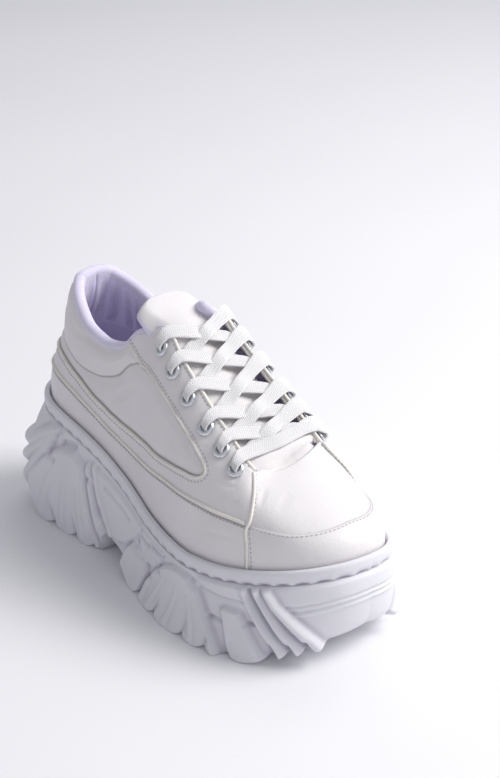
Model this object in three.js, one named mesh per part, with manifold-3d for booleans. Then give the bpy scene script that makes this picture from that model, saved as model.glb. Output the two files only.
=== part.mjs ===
// Platform sneaker, right foot, in millimetres: +X to the toe, +Y to the inner side, +Z up.
// The shoe is worked out in its own lengths from the back of the sole, and the group is
// centred over its footprint at the end.
import * as THREE from 'three';
import { mergeVertices } from 'three/addons/utils/BufferGeometryUtils.js';
import Module from 'manifold-3d';

const wasm = await Module();
wasm.setup();

// Lengths and widths
const featherLength = 268; // lower edge of the upper, heel to toe
const heelOverhang = 6; // sole behind the upper
const upperBallWidth = 92; // across the ball at the lower edge of the upper
const toeSwing = 7; // toe turned to the inner side
const throatSwing = 5; // throat turned to the inner side

// Heights
const platformHeel = 77.5; // sole top at the heel
const platformBall = 41.6; // sole top at the ball
const toeRise = 19.4; // sole top, toe above ball
const toeSpring = 17; // sole bottom at the toe
const archHeight = 13; // sole bottom at the waist
const instepRise = 103; // collar corner above the sole top
const collarRise = 76; // back of the collar above the sole top

// Upper
const wall = 1.8;
const guardStep = 0.8; // guard panel round the foot, proud of the quarter
const bandStep = 0.4; // band between the two piped seams
const pipeRise = 1.5; // piped seam above the quarter
const pipeHalf = 1.2; // half the width of a piped seam
const guardHeight = 28; // guard panel at the ball, along the surface
const eyestayWidth = 22; // throat edge to the piped edge of the eyestay
const collarPanel = 25; // topline to the seam of the collar panel

// Sole
const rimStep = 1; // sole top, outward from the upper
const rimDepth = 6.5; // ledge that the welt sits on, below the sole top
const rimReach = 5; // ledge, outward from the upper
const soleBulge = 14; // sole wall, outward from the upper, where it is widest
const ribHeight = 5;
const lugNotch = 4.5; // gaps between the lugs, above the floor
const treadInset = 9; // flat tread, in from the lug ends

// Small pieces
const clearance = 0.3; // between pieces that meet
const weltWidth = 3.9;
const weltHeight = 8.5;
const insoleThickness = 4;
const tongueThickness = 4;
const tongueRise = 11; // tongue top above the collar corner
const tongueBack = 24; // free end of the tongue behind the collar corner
const tongueSeat = wall + 1.2; // tongue's face below the outside of the upper
const tongueCrown = 1.5; // middle of the tongue above the line between the throat's edges
const eyeletBore = 2.6; // radius
const eyeletBarrel = 3.4; // radius
const eyeletFlange = 5.1; // radius
const eyeletHeight = 1.2; // flange thickness
const eyeletSeat = 0.7; // flange above the leather's curve
const eyeletInset = 9.5; // from the throat edge
const eyeletBevel = 1; // slope of the flange's rim
const eyeletTail = 0.4; // barrel past the inside of the leather
const eyeletCut = 12; // length of the tool that bores the leather
const laceWidth = 6.6;
const laceThickness = 1.5;
const laceRise = 1.2; // band above the tongue where it leaves the throat edge
const laceOverLift = 1.7; // upper band above the tongue at a crossing
const laceUnderLift = 0.7; // lower band above the tongue at a crossing
const laceEndLift = 0.5; // band above the tongue where it dips under the eyestay

// Numbers of faces
const soleColumns = 168;
const upperColumns = 68;
const weltColumns = 76;
const eyeletSides = 10;
const laceSteps = 9;

// Smooth curve through the rows of a table, read by one column against the column "at"
function follow(rows, column) {
  const x = rows.map((row) => row.at);
  const y = rows.map((row) => row[column]);
  const last = x.length - 1;
  const step = x.slice(1).map((value, i) => value - x[i]);
  const slope = step.map((value, i) => (y[i + 1] - y[i]) / value);
  const tangent = x.map((_, i) => {
    if (i === 0) return slope[0];
    if (i === last) return slope[last - 1];
    if (slope[i - 1] * slope[i] <= 0) return 0;
    const before = 2 * step[i] + step[i - 1];
    const after = step[i] + 2 * step[i - 1];
    return (before + after) / (before / slope[i - 1] + after / slope[i]);
  });
  return (value) => {
    let i = 0;
    while (i < last - 1 && value > x[i + 1]) i += 1;
    const h = step[i];
    const s = THREE.MathUtils.clamp((value - x[i]) / h, 0, 1);
    const blend = s * s * (3 - 2 * s);
    const bend = tangent[i] * s * (1 - s) ** 2 - tangent[i + 1] * s * s * (1 - s);
    return y[i] * (1 - blend) + y[i + 1] * blend + h * bend;
  };
}

// 0 at low, 1 at high, eased between them; low may be the larger
function smooth(low, high, value) {
  const t = THREE.MathUtils.clamp((value - low) / (high - low), 0, 1);
  return t * t * (3 - 2 * t);
}
const mix = THREE.MathUtils.lerp;

// Outline of the lower edge of the upper: half widths as shares of half the ball width,
// against the share of the length from the heel
const outlineRows = [
  { at: 0.0, outer: 0.8, inner: 0.76 },
  { at: 0.13, outer: 0.79, inner: 0.76 },
  { at: 0.26, outer: 0.77, inner: 0.72 },
  { at: 0.39, outer: 0.75, inner: 0.66 },
  { at: 0.53, outer: 0.87, inner: 0.77 },
  { at: 0.69, outer: 1.01, inner: 0.94 },
  { at: 0.83, outer: 1.0, inner: 0.92 },
  { at: 1.0, outer: 0.98, inner: 0.88 },
];
const toeRound = { from: 0.72, power: 2.3 };
const heelRound = { from: 0.17, power: 2.5 };

// Height of the sole top: shares of the heel's and the toe's height above the ball
const heightRows = [
  { at: 0.0, heel: 1.0, toe: 0.0 },
  { at: 0.11, heel: 0.92, toe: 0.0 },
  { at: 0.21, heel: 0.79, toe: 0.0 },
  { at: 0.29, heel: 0.64, toe: 0.0 },
  { at: 0.365, heel: 0.42, toe: 0.0 },
  { at: 0.435, heel: 0.2, toe: 0.0 },
  { at: 0.5, heel: 0.07, toe: 0.0 },
  { at: 0.58, heel: 0.0, toe: 0.0 },
  { at: 0.67, heel: 0.0, toe: 0.01 },
  { at: 0.74, heel: 0.0, toe: 0.1 },
  { at: 0.83, heel: 0.0, toe: 0.34 },
  { at: 0.925, heel: 0.0, toe: 0.68 },
  { at: 1.0, heel: 0.0, toe: 1.0 },
];
const heelShare = follow(heightRows, 'heel');
const toeShare = follow(heightRows, 'toe');

function soleTop(x) {
  const at = (x - heelOverhang) / featherLength;
  return platformBall + (platformHeel - platformBall) * heelShare(at) + toeRise * toeShare(at);
}

// One side of the outline as a fine line from the toe to the heel, with its running length
function outlineSide(column, sign) {
  const share = follow(outlineRows, column);
  const steps = 1200;
  const points = [];
  for (let i = 0; i <= steps; i += 1) {
    const at = (1 + Math.cos((Math.PI * i) / steps)) / 2;
    const toe = Math.max(0, (at - toeRound.from) / (1 - toeRound.from));
    const heel = Math.max(0, (heelRound.from - at) / heelRound.from);
    const round = Math.max(0, 1 - toe ** toeRound.power) ** (1 / toeRound.power)
      * Math.max(0, 1 - heel ** heelRound.power) ** (1 / heelRound.power);
    const half = share(at) * round * upperBallWidth / 2;
    const centre = toeSwing * Math.max(0, (at - 0.5) / 0.5) ** 2;
    points.push([heelOverhang + at * featherLength, sign * half + centre]);
  }
  const run = [0];
  for (let i = 1; i <= steps; i += 1) {
    run.push(run[i - 1] + Math.hypot(points[i][0] - points[i - 1][0], points[i][1] - points[i - 1][1]));
  }
  return { points, run, length: run[steps] };
}
const outerSide = outlineSide('outer', -1);
const innerSide = outlineSide('inner', 1);

// Point of the outline at a share of one side's length, 0 at the toe and 1 at the heel
function outlinePoint(at, sign) {
  const side = sign < 0 ? outerSide : innerSide;
  const target = THREE.MathUtils.clamp(at, 0, 1) * side.length;
  let low = 0;
  let high = side.run.length - 1;
  while (high - low > 1) {
    const middle = (low + high) >> 1;
    if (side.run[middle] <= target) low = middle;
    else high = middle;
  }
  const t = (target - side.run[low]) / (side.run[high] - side.run[low]);
  const a = side.points[low];
  const b = side.points[high];
  return [mix(a[0], b[0], t), mix(a[1], b[1], t)];
}

// Outward direction of the outline; the ends point straight along the shoe
function outlineNormal(at, sign) {
  if (at <= 0) return [1, 0];
  if (at >= 1) return [-1, 0];
  const reach = 0.012;
  const a = outlinePoint(Math.max(0, at - reach), sign);
  const b = outlinePoint(Math.min(1, at + reach), sign);
  let nx = (b[1] - a[1]) * sign;
  let ny = -(b[0] - a[0]) * sign;
  const size = Math.hypot(nx, ny);
  nx /= size;
  ny /= size;
  const ends = Math.min(1, at / reach, (1 - at) / reach);
  const end = at < 0.5 ? 1 : -1;
  nx = mix(end, nx, ends);
  ny *= ends;
  const again = Math.hypot(nx, ny);
  return [nx / again, ny / again];
}

// A ring's places: from the toe along the outer side to the heel and back along the inner side
function ringPlaces(columns) {
  const half = columns / 2;
  return Array.from({ length: columns }, (_, i) => (
    i <= half ? { at: i / half, sign: -1 } : { at: (columns - i) / half, sign: 1 }
  ));
}

// Closed skin over rings of points; each pair of neighbours in the list is joined
function skin(rings, capped) {
  const columns = rings[0].length;
  const positions = rings.flat(2);
  const faces = [];
  const count = capped ? rings.length - 1 : rings.length;
  for (let r = 0; r < count; r += 1) {
    const a = r * columns;
    const b = ((r + 1) % rings.length) * columns;
    for (let i = 0; i < columns; i += 1) {
      const j = (i + 1) % columns;
      faces.push(a + i, b + i, b + j, a + i, b + j, a + j);
    }
  }
  if (capped) {
    const cap = (base, flip) => {
      for (let i = 0; i < columns / 2; i += 1) {
        const left = i;
        const right = (columns - i) % columns;
        const nextLeft = i + 1;
        const nextRight = columns - i - 1;
        const quad = [];
        if (left !== right) quad.push([left, nextLeft, right]);
        if (nextLeft !== nextRight) quad.push([right, nextLeft, nextRight]);
        quad.forEach(([p, q, s]) => faces.push(...(flip ? [base + p, base + s, base + q]
          : [base + p, base + q, base + s])));
      }
    };
    cap(0, false);
    cap((rings.length - 1) * columns, true);
  }
  const geometry = new THREE.BufferGeometry();
  geometry.setAttribute('position', new THREE.Float32BufferAttribute(positions, 3));
  geometry.setIndex(faces);
  return outward(geometry);
}

// Turns the faces round where the volume comes out negative
function outward(geometry) {
  const p = geometry.getAttribute('position');
  const index = geometry.getIndex().array;
  const a = new THREE.Vector3();
  const b = new THREE.Vector3();
  const c = new THREE.Vector3();
  let volume = 0;
  for (let i = 0; i < index.length; i += 3) {
    a.fromBufferAttribute(p, index[i]);
    b.fromBufferAttribute(p, index[i + 1]);
    c.fromBufferAttribute(p, index[i + 2]);
    volume += a.dot(b.cross(c));
  }
  if (volume < 0) {
    for (let i = 0; i < index.length; i += 3) {
      [index[i + 1], index[i + 2]] = [index[i + 2], index[i + 1]];
    }
  }
  return geometry;
}

// Cuts and joins
function toManifold(geometry) {
  const bare = geometry.clone();
  bare.deleteAttribute('normal');
  bare.deleteAttribute('uv');
  const merged = mergeVertices(bare, 1e-4);
  return new wasm.Manifold(new wasm.Mesh({
    numProp: 3,
    vertProperties: new Float32Array(merged.getAttribute('position').array),
    triVerts: new Uint32Array(merged.getIndex().array),
  }));
}

function fromManifold(solid) {
  const mesh = solid.getMesh();
  const geometry = new THREE.BufferGeometry();
  geometry.setAttribute('position', new THREE.Float32BufferAttribute(mesh.vertProperties, 3));
  geometry.setIndex(Array.from(mesh.triVerts));
  return geometry;
}

// Materials
const material = (color, roughness, metalness = 0) => (
  new THREE.MeshStandardMaterial({ color, roughness, metalness })
);
const leather = material(0xe9e6e8, 0.5);
const rubber = material(0xe4e2ea, 0.6);
const lining = material(0xcfc8e6, 0.9);
const lace = material(0xf6f5f6, 0.85);
const metal = material(0xb9c0c6, 0.35, 0.8);

const group = new THREE.Group();
function addPart(name, geometry, finish) {
  geometry.computeVertexNormals();
  const mesh = new THREE.Mesh(geometry, finish);
  mesh.name = name;
  group.add(mesh);
  return mesh;
}

// Upper: a row for each section, read against the share of the side from the toe to the heel.
// edge: throat or collar edge along the shoe, share of the feather length from the heel
// half: edge from the throat's line, share of half the ball width; lean: share of throatSwing
// instep, collar: height of the edge above the sole top, as shares of the two named rises
// lift, drop: handles of the section's curve at its lower and upper end, as shares of its height
// out, reach: the same handles outward, as shares of half the ball width
// guard: guard panel, share of guardHeight; band: upper piped seam, share of what is above it
const sectionRows = [
  { at: 0.0, edge: 0.777, half: 0.0, lean: 1.0, instep: 0.3, collar: 0.0,
    lift: 0.47, drop: 0.3, out: 0.06, reach: 0.87, guard: 0.78, band: 0.5 },
  { at: 0.05, edge: 0.776, half: 0.14, lean: 1.0, instep: 0.305, collar: 0.0,
    lift: 0.47, drop: 0.28, out: 0.06, reach: 0.84, guard: 0.74, band: 0.5 },
  { at: 0.1, edge: 0.774, half: 0.28, lean: 1.0, instep: 0.33, collar: 0.0,
    lift: 0.46, drop: 0.24, out: 0.06, reach: 0.74, guard: 0.77, band: 0.5 },
  { at: 0.15, edge: 0.77, half: 0.4, lean: 1.0, instep: 0.375, collar: 0.0,
    lift: 0.46, drop: 0.18, out: 0.05, reach: 0.54, guard: 0.855, band: 0.5 },
  { at: 0.2, edge: 0.763, half: 0.49, lean: 0.9, instep: 0.43, collar: 0.0,
    lift: 0.46, drop: 0.12, out: 0.04, reach: 0.36, guard: 0.93, band: 0.5 },
  { at: 0.25, edge: 0.737, half: 0.5, lean: 0.86, instep: 0.505, collar: 0.0,
    lift: 0.44, drop: 0.1, out: 0.03, reach: 0.31, guard: 1.02, band: 0.55 },
  { at: 0.3, edge: 0.698, half: 0.49, lean: 0.76, instep: 0.6, collar: 0.0,
    lift: 0.43, drop: 0.09, out: 0.03, reach: 0.29, guard: 1.09, band: 0.97 },
  { at: 0.36, edge: 0.647, half: 0.48, lean: 0.64, instep: 0.7, collar: 0.0,
    lift: 0.44, drop: 0.08, out: 0.02, reach: 0.28, guard: 1.15, band: 0.48 },
  { at: 0.44, edge: 0.57, half: 0.455, lean: 0.44, instep: 0.845, collar: 0.0,
    lift: 0.45, drop: 0.08, out: 0.02, reach: 0.27, guard: 1.14, band: 0.27 },
  { at: 0.5, edge: 0.513, half: 0.43, lean: 0.3, instep: 0.935, collar: 0.0,
    lift: 0.45, drop: 0.08, out: 0.01, reach: 0.26, guard: 1.03, band: 0.21 },
  { at: 0.54, edge: 0.477, half: 0.4, lean: 0.2, instep: 0.995, collar: 0.0,
    lift: 0.45, drop: 0.09, out: 0.0, reach: 0.25, guard: 0.92, band: 0.2 },
  { at: 0.575, edge: 0.447, half: 0.375, lean: 0.16, instep: 0.975, collar: 0.0,
    lift: 0.44, drop: 0.11, out: 0.0, reach: 0.23, guard: 0.81, band: 0.19 },
  { at: 0.6, edge: 0.413, half: 0.405, lean: 0.1, instep: 0.9, collar: 0.02,
    lift: 0.42, drop: 0.15, out: 0.0, reach: 0.2, guard: 0.74, band: 0.2 },
  { at: 0.635, edge: 0.372, half: 0.5, lean: 0.05, instep: 0.6, collar: 0.3,
    lift: 0.42, drop: 0.26, out: 0.0, reach: 0.12, guard: 0.67, band: 0.22 },
  { at: 0.68, edge: 0.335, half: 0.59, lean: 0.0, instep: 0.22, collar: 0.6,
    lift: 0.42, drop: 0.38, out: 0.0, reach: 0.05, guard: 0.61, band: 0.31 },
  { at: 0.74, edge: 0.264, half: 0.63, lean: 0.0, instep: 0.02, collar: 0.77,
    lift: 0.38, drop: 0.42, out: 0.02, reach: 0.0, guard: 0.64, band: 0.41 },
  { at: 0.8, edge: 0.2, half: 0.61, lean: 0.0, instep: 0.0, collar: 0.79,
    lift: 0.38, drop: 0.42, out: 0.03, reach: -0.03, guard: 0.7, band: 0.52 },
  { at: 0.86, edge: 0.145, half: 0.54, lean: 0.0, instep: 0.0, collar: 0.86,
    lift: 0.39, drop: 0.42, out: 0.03, reach: 0.0, guard: 0.74, band: 0.5 },
  { at: 0.91, edge: 0.1, half: 0.42, lean: 0.0, instep: 0.0, collar: 0.93,
    lift: 0.4, drop: 0.42, out: 0.04, reach: 0.03, guard: 0.72, band: 0.44 },
  { at: 0.955, edge: 0.07, half: 0.25, lean: 0.0, instep: 0.0, collar: 0.985,
    lift: 0.42, drop: 0.4, out: 0.05, reach: 0.05, guard: 0.7, band: 0.38 },
  { at: 1.0, edge: 0.062, half: 0.0, lean: 0.0, instep: 0.0, collar: 1.0,
    lift: 0.42, drop: 0.4, out: 0.05, reach: 0.06, guard: 0.69, band: 0.37 },
];
const section = {};
Object.keys(sectionRows[0]).filter((key) => key !== 'at').forEach((key) => {
  section[key] = follow(sectionRows, key);
});
const throatStart = 0.2; // share of the side where the throat's side begins
const collarStart = 0.575; // share of the side at the collar corner
const bandTip = 0.335; // share of the side where the upper piped seam ends
const innerThroatRise = 0.06; // inner throat edge above the outer, share of instepRise
const innerSlim = 0.5; // how much less the vamp bulges on its inner side

// Places on one section of the upper, evenly spaced along its length
const cutCache = new Map();
function sectionCurve(at, sign) {
  const key = `${at.toFixed(5)} ${sign}`;
  if (cutCache.has(key)) return cutCache.get(key);
  const halfBall = upperBallWidth / 2;
  const [fx, fy] = outlinePoint(at, sign);
  const fz = soleTop(fx) + clearance;
  const [nx, ny] = outlineNormal(at, sign);
  const lean = section.lean(at) * throatSwing;
  const ex = heelOverhang + section.edge(at) * featherLength;
  const ey = sign * section.half(at) * halfBall + lean;
  const tilt = sign > 0 ? innerThroatRise * section.lean(at) * Math.min(1, section.half(at) * 3) : 0;
  const rise = (section.instep(at) + tilt) * instepRise + section.collar(at) * collarRise;
  const ez = fz + rise;
  const slim = sign > 0 ? innerSlim * smooth(0, 0.06, at) * smooth(0.42, 0.22, at) : 0;
  const out = section.out(at) * halfBall * (1 - slim);
  const reach = section.reach(at) * halfBall * (1 - slim);
  const curve = new THREE.CubicBezierCurve3(
    new THREE.Vector3(fx, fy, fz),
    new THREE.Vector3(fx + nx * out, fy + ny * out, fz + section.lift(at) * rise),
    new THREE.Vector3(ex + nx * reach, ey + ny * reach, ez - section.drop(at) * rise),
    new THREE.Vector3(ex, ey, ez),
  );
  curve.arcLengthDivisions = 60;
  const value = { curve, length: curve.getLength() };
  cutCache.set(key, value);
  return value;
}

// Point of the upper's outside at a distance up its section, moved out along the surface normal
// An endless distance with a tuck is measured back from the section's upper edge
function upperPoint(at, sign, distance, offset, tuck = 0) {
  const cut = sectionCurve(at, sign);
  const place = distance === Infinity ? cut.length - tuck : distance;
  const u = THREE.MathUtils.clamp(place / cut.length, 0, 1);
  const point = cut.curve.getPointAt(u);
  if (place > cut.length) point.addScaledVector(cut.curve.getTangentAt(1), place - cut.length);
  if (offset === 0) return point.toArray();
  const step = 0.006;
  const along = new THREE.Vector3();
  if (at - step < 0 || at + step > 1) {
    const [nx, ny] = outlineNormal(at, sign);
    along.set(-ny, nx, 0);
  } else {
    const before = sectionCurve(at - step, sign).curve.getPointAt(u);
    const after = sectionCurve(at + step, sign).curve.getPointAt(u);
    along.subVectors(after, before).multiplyScalar(-sign);
  }
  const up = cut.curve.getTangentAt(u);
  const normal = along.cross(up).normalize();
  const [nx, ny] = outlineNormal(at, sign);
  if (normal.x * nx + normal.y * ny + normal.z * 0.5 < 0) normal.negate();
  return point.addScaledVector(normal, offset).toArray();
}

// Seam lines of one section, as distances up from its lower edge
function seamLines(at, sign) {
  const { length } = sectionCurve(at, sign);
  const guard = section.guard(at) * guardHeight;
  const collar = smooth(collarStart - 0.03, collarStart + 0.12, at);
  const back = smooth(0.86, 1.0, at);
  const toe = smooth(throatStart + 0.02, throatStart - 0.08, at);
  const panel = mix(mix(eyestayWidth, collarPanel, collar), collarPanel * 1.2, back);
  const top = length - mix(panel, eyestayWidth * 0.6, toe);
  return { length, guard, band: mix(guard, top, section.band(at)), top };
}

// Outside rows of the upper, from the lower edge to the throat or collar edge
function outerRows(at, sign) {
  const { length, guard, band, top } = seamLines(at, sign);
  const side = smooth(throatStart - 0.02, throatStart + 0.01, at);
  const seam = smooth(bandTip - 0.01, bandTip + 0.01, at);
  const eyestay = side * (1 - smooth(collarStart + 0.02, collarStart + 0.05, at));
  const half = pipeHalf;
  return [
    [0, guardStep],
    [guard * 0.5, guardStep],
    [guard - half, guardStep],
    [guard, mix(guardStep, pipeRise + bandStep, side)],
    [guard + half, bandStep * seam],
    [band - half, bandStep * seam],
    [band, pipeRise * seam],
    [band + half, 0],
    [mix(band, top, 0.5), 0],
    [top - half, 0],
    [top, mix(0, pipeRise, eyestay)],
    [top + half, guardStep * eyestay],
    [mix(top, length, 0.55), guardStep * eyestay],
    [length, guardStep * eyestay * 0.5],
  ];
}

const inwardRows = [1, 0.86, 0.68, 0.5, 0.32, 0.15, 0];

function upperGeometry() {
  const places = ringPlaces(upperColumns);
  const rings = [];
  const outer = places.map(({ at, sign }) => outerRows(at, sign));
  for (let row = 0; row < outer[0].length; row += 1) {
    rings.push(places.map(({ at, sign }, i) => upperPoint(at, sign, ...outer[i][row])));
  }
  inwardRows.forEach((share) => {
    rings.push(places.map(({ at, sign }) => (
      upperPoint(at, sign, share * sectionCurve(at, sign).length, -wall)
    )));
  });
  let solid = toManifold(skin(rings, false));
  eyeletFrames().forEach(({ matrix }) => {
    const radius = eyeletBarrel + clearance;
    const hole = new THREE.CylinderGeometry(radius, radius, eyeletCut, eyeletSides);
    hole.applyMatrix4(matrix);
    solid = solid.subtract(toManifold(hole));
  });
  return fromManifold(solid);
}

// Eyelets: share of the side where each one sits, top to bottom
const eyeletPlaces = [0.545, 0.497, 0.436, 0.372, 0.315, 0.262];

// Frame of each eyelet: its own Y axis stands off the leather
function eyeletFrames() {
  const frames = [];
  [-1, 1].forEach((sign) => {
    eyeletPlaces.forEach((at, i) => {
      const { length } = sectionCurve(at, sign);
      const place = length - eyeletInset;
      const point = new THREE.Vector3(...upperPoint(at, sign, place, guardStep));
      const high = new THREE.Vector3(...upperPoint(at, sign, place, guardStep + 1));
      const turn = new THREE.Quaternion().setFromUnitVectors(
        new THREE.Vector3(0, 1, 0),
        high.sub(point).normalize(),
      );
      const matrix = new THREE.Matrix4().compose(point, turn, new THREE.Vector3(1, 1, 1));
      frames.push({ name: `eyelet_${sign < 0 ? 'outer' : 'inner'}_${i + 1}`, matrix });
    });
  });
  return frames;
}

function eyeletGeometry(matrix) {
  const seat = eyeletSeat;
  const depth = wall + guardStep + eyeletTail;
  const profile = [
    [eyeletBore, seat + eyeletHeight],
    [eyeletBore, -depth],
    [eyeletBarrel, -depth],
    [eyeletBarrel, seat],
    [eyeletFlange, seat],
    [eyeletFlange - eyeletBevel, seat + eyeletHeight],
    [eyeletBore, seat + eyeletHeight],
  ].map(([x, y]) => new THREE.Vector2(x, y));
  const geometry = new THREE.LatheGeometry(profile, eyeletSides);
  geometry.applyMatrix4(matrix);
  return outward(fromManifold(toManifold(geometry)));
}

// Sole wall, outward from the upper, as shares of soleBulge
const wallRows = [
  { at: 0.0, middle: 0.42, foot: 0.16 },
  { at: 0.12, middle: 0.48, foot: 0.36 },
  { at: 0.2, middle: 0.5, foot: 0.84 },
  { at: 0.28, middle: 0.48, foot: 1.06 },
  { at: 0.38, middle: 0.46, foot: 1.06 },
  { at: 0.48, middle: 0.48, foot: 0.94 },
  { at: 0.58, middle: 0.6, foot: 0.74 },
  { at: 0.68, middle: 0.66, foot: 0.6 },
  { at: 0.8, middle: 0.8, foot: 0.68 },
  { at: 0.9, middle: 1.2, foot: 0.94 },
  { at: 0.96, middle: 1.0, foot: 0.7 },
  { at: 1.0, middle: 0.46, foot: 0.2 },
];
const middleShare = follow(wallRows, 'middle');
const footShare = follow(wallRows, 'foot');

// Underside of the sole: shares of archHeight and toeSpring, against the side from the toe
const underRows = [
  { at: 0.0, spring: 1.0, arch: 0.0 },
  { at: 0.06, spring: 0.8, arch: 0.0 },
  { at: 0.12, spring: 0.42, arch: 0.0 },
  { at: 0.17, spring: 0.14, arch: 0.0 },
  { at: 0.22, spring: 0.0, arch: 0.0 },
  { at: 0.5, spring: 0.0, arch: 0.0 },
  { at: 0.535, spring: 0.0, arch: 0.35 },
  { at: 0.58, spring: 0.0, arch: 0.8 },
  { at: 0.62, spring: 0.0, arch: 1.0 },
  { at: 0.648, spring: 0.0, arch: 0.9 },
  { at: 0.665, spring: 0.0, arch: 0.0 },
  { at: 1.0, spring: 0.0, arch: 0.0 },
];
const springShare = follow(underRows, 'spring');
const archShare = follow(underRows, 'arch');
const underside = (at) => toeSpring * springShare(at) + archHeight * archShare(at);

// Shells on the side wall: flutes spread from a hub above the crown down to the lugs.
// Places along the side are shares of its length from the heel, heights shares of the wall.
const shells = [
  { hub: 0.265, hubHeight: 1.25, crown: 0.88, notches: [0.13, 0.193, 0.262, 0.32, 0.36] },
  { hub: 0.6, hubHeight: 1.3, crown: 0.86, notches: [0.524, 0.6, 0.68, 0.733, 0.776] },
];

// Fans on the side wall: ribs from under the welt down to the sole's end
const fans = [
  { ribs: [[0.185, 1.0, 0.03, 0.62], [0.18, 0.92, 0.035, 0.4], [0.17, 0.84, 0.06, 0.16]], width: 0.024 },
  { ribs: [[0.787, 0.98, 0.86, 0.03], [0.81, 0.98, 0.887, 0.03], [0.829, 0.98, 0.914, 0.04]], width: 0.019 },
];

// Plates on the side wall: their ends at the floor edge, how far their top leans, and its height
const plates = [
  { from: 0.437, to: 0.518, lean: 0.012, top: 0.52 },
  { from: 0.776, to: 0.836, lean: -0.04, top: 0.63 },
];

const shellEdge = 0.35; // crown of a shell, share of ribHeight
const ribShare = 0.8; // rib or plate, share of ribHeight
const plateSoft = 0.009; // soft ends of a plate, share of the side

// Relief of the side wall, outward, at a share of the side from the heel and a share of its height
function relief(along, height) {
  let value = 0;
  shells.forEach(({ hub, hubHeight, crown, notches }) => {
    const spread = hub + (along - hub) * hubHeight / Math.max(0.05, hubHeight - height);
    const first = notches[0];
    const last = notches[notches.length - 1];
    if (spread <= first || spread >= last) return;
    const k = notches.findIndex((place) => place > spread) - 1;
    const phase = (spread - notches[k]) / (notches[k + 1] - notches[k]);
    const middle = (first + last) / 2;
    const arch = crown * (1 - 0.35 * Math.abs((spread - middle) / (last - middle)) ** 2);
    const inside = smooth(arch + 0.03, arch - 0.05, height);
    const flute = Math.sqrt(Math.sin(Math.PI * phase));
    const fluted = mix(shellEdge, 1, flute * smooth(crown, crown * 0.5, height));
    value = Math.max(value, ribHeight * inside * fluted);
  });
  fans.forEach(({ ribs, width }) => ribs.forEach(([a0, h0, a1, h1]) => {
    const da = a1 - a0;
    const dh = h1 - h0;
    const t = THREE.MathUtils.clamp((height - h0) / dh, 0, 1);
    const away = Math.abs(along - a0 - da * t) / (width * (0.6 + 0.6 * t));
    const ends = height > h0 ? smooth(h0 + 0.08, h0, height) : 1;
    if (away < 1) value = Math.max(value, ribHeight * ribShare * ends * Math.cos(away * Math.PI / 2));
  }));
  plates.forEach(({ from, to, lean, top }) => {
    const place = along - lean * Math.min(1, height / top);
    const inside = smooth(from - plateSoft, from + plateSoft, place)
      * smooth(to + plateSoft, to - plateSoft, place) * smooth(top + 0.08, top - 0.04, height);
    value = Math.max(value, ribHeight * ribShare * inside);
  });
  return value;
}

// Notches between the lugs along the bottom edge, as a share of lugNotch
const treadNotches = [0.085, 0.13, 0.193, 0.262, 0.32, 0.36, 0.524, 0.6, 0.68, 0.733, 0.776, 0.843,
  0.87, 0.897];
const notchHalf = 0.014; // half width of a notch, share of the side
const notchTop = 0.3; // wall height where a notch ends
const toeStep = 0.925; // past the lugs the toe's edge stands as high as their notches
function notch(along) {
  const nearest = Math.min(...treadNotches.map((place) => Math.abs(place - along)));
  const gap = nearest < notchHalf ? Math.cos((nearest / notchHalf) * Math.PI / 2) : 0;
  return Math.max(gap, 0.85 * smooth(toeStep - 0.006, toeStep + 0.008, along));
}

// Toe bumper: a raised belt round the toe, share of the wall's height
const toeBelt = { from: 0.6, to: 0.7, rise: 1.0 };

function soleOffset(at, height) {
  const middle = middleShare(at) * soleBulge;
  const foot = footShare(at) * soleBulge;
  const curved = foot * (1 - height) * (1 - 2 * height) + middle * 4 * height * (1 - height)
    + rimReach * height * (2 * height - 1);
  const along = 1 - at;
  const toe = smooth(0.16, 0.12, at);
  const belt = toeBelt.rise * toe * smooth(toeBelt.from - 0.04, toeBelt.from, height)
    * smooth(toeBelt.to + 0.04, toeBelt.to, height);
  const free = smooth(1, 0.93, height);
  return curved + relief(along, height) * free + belt;
}

const wallHeights = [1, 0.93, 0.8, 0.66, 0.5, 0.34, 0.18, 0.06, 0];

// How far the mesh's columns lean along the side, bottom to top, so that they follow the ribs
const leanRows = [
  { at: 0.0, lean: 0.0 },
  { at: 0.05, lean: 0.1 },
  { at: 0.1, lean: 0.105 },
  { at: 0.178, lean: 0.055 },
  { at: 0.265, lean: 0.0 },
  { at: 0.35, lean: -0.054 },
  { at: 0.42, lean: 0.0 },
  { at: 0.49, lean: 0.07 },
  { at: 0.6, lean: 0.0 },
  { at: 0.78, lean: -0.11 },
  { at: 0.85, lean: -0.064 },
  { at: 0.91, lean: -0.068 },
  { at: 1.0, lean: 0.0 },
];
const columnLean = follow(leanRows, 'lean');
const leaned = (at, height) => (
  at - columnLean(1 - at) * Math.min(height, 0.8) * smooth(1, 0.82, height)
);

function solePoint(at, sign, offset, z) {
  const [x, y] = outlinePoint(at, sign);
  const [nx, ny] = outlineNormal(at, sign);
  return [x + nx * offset, y + ny * offset, z];
}

function soleGeometry() {
  const places = ringPlaces(soleColumns);
  const rings = [];
  const top = (at, sign) => soleTop(outlinePoint(at, sign)[0]);
  rings.push(places.map(({ at, sign }) => solePoint(at, sign, rimStep, top(at, sign))));
  rings.push(places.map(({ at, sign }) => solePoint(at, sign, rimStep, top(at, sign) - rimDepth)));
  wallHeights.forEach((height) => {
    rings.push(places.map(({ at: foot, sign }) => {
      const at = leaned(foot, height);
      const high = top(at, sign) - rimDepth;
      const rise = lugNotch * notch(1 - at) * Math.max(0, 1 - height / notchTop) ** 1.5;
      return solePoint(at, sign, soleOffset(at, height), mix(underside(at), high, height) + rise);
    }));
  });
  rings.push(places.map(({ at, sign }) => (
    solePoint(at, sign, footShare(at) * soleBulge - treadInset, underside(at))
  )));
  return skin(rings, true);
}

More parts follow.
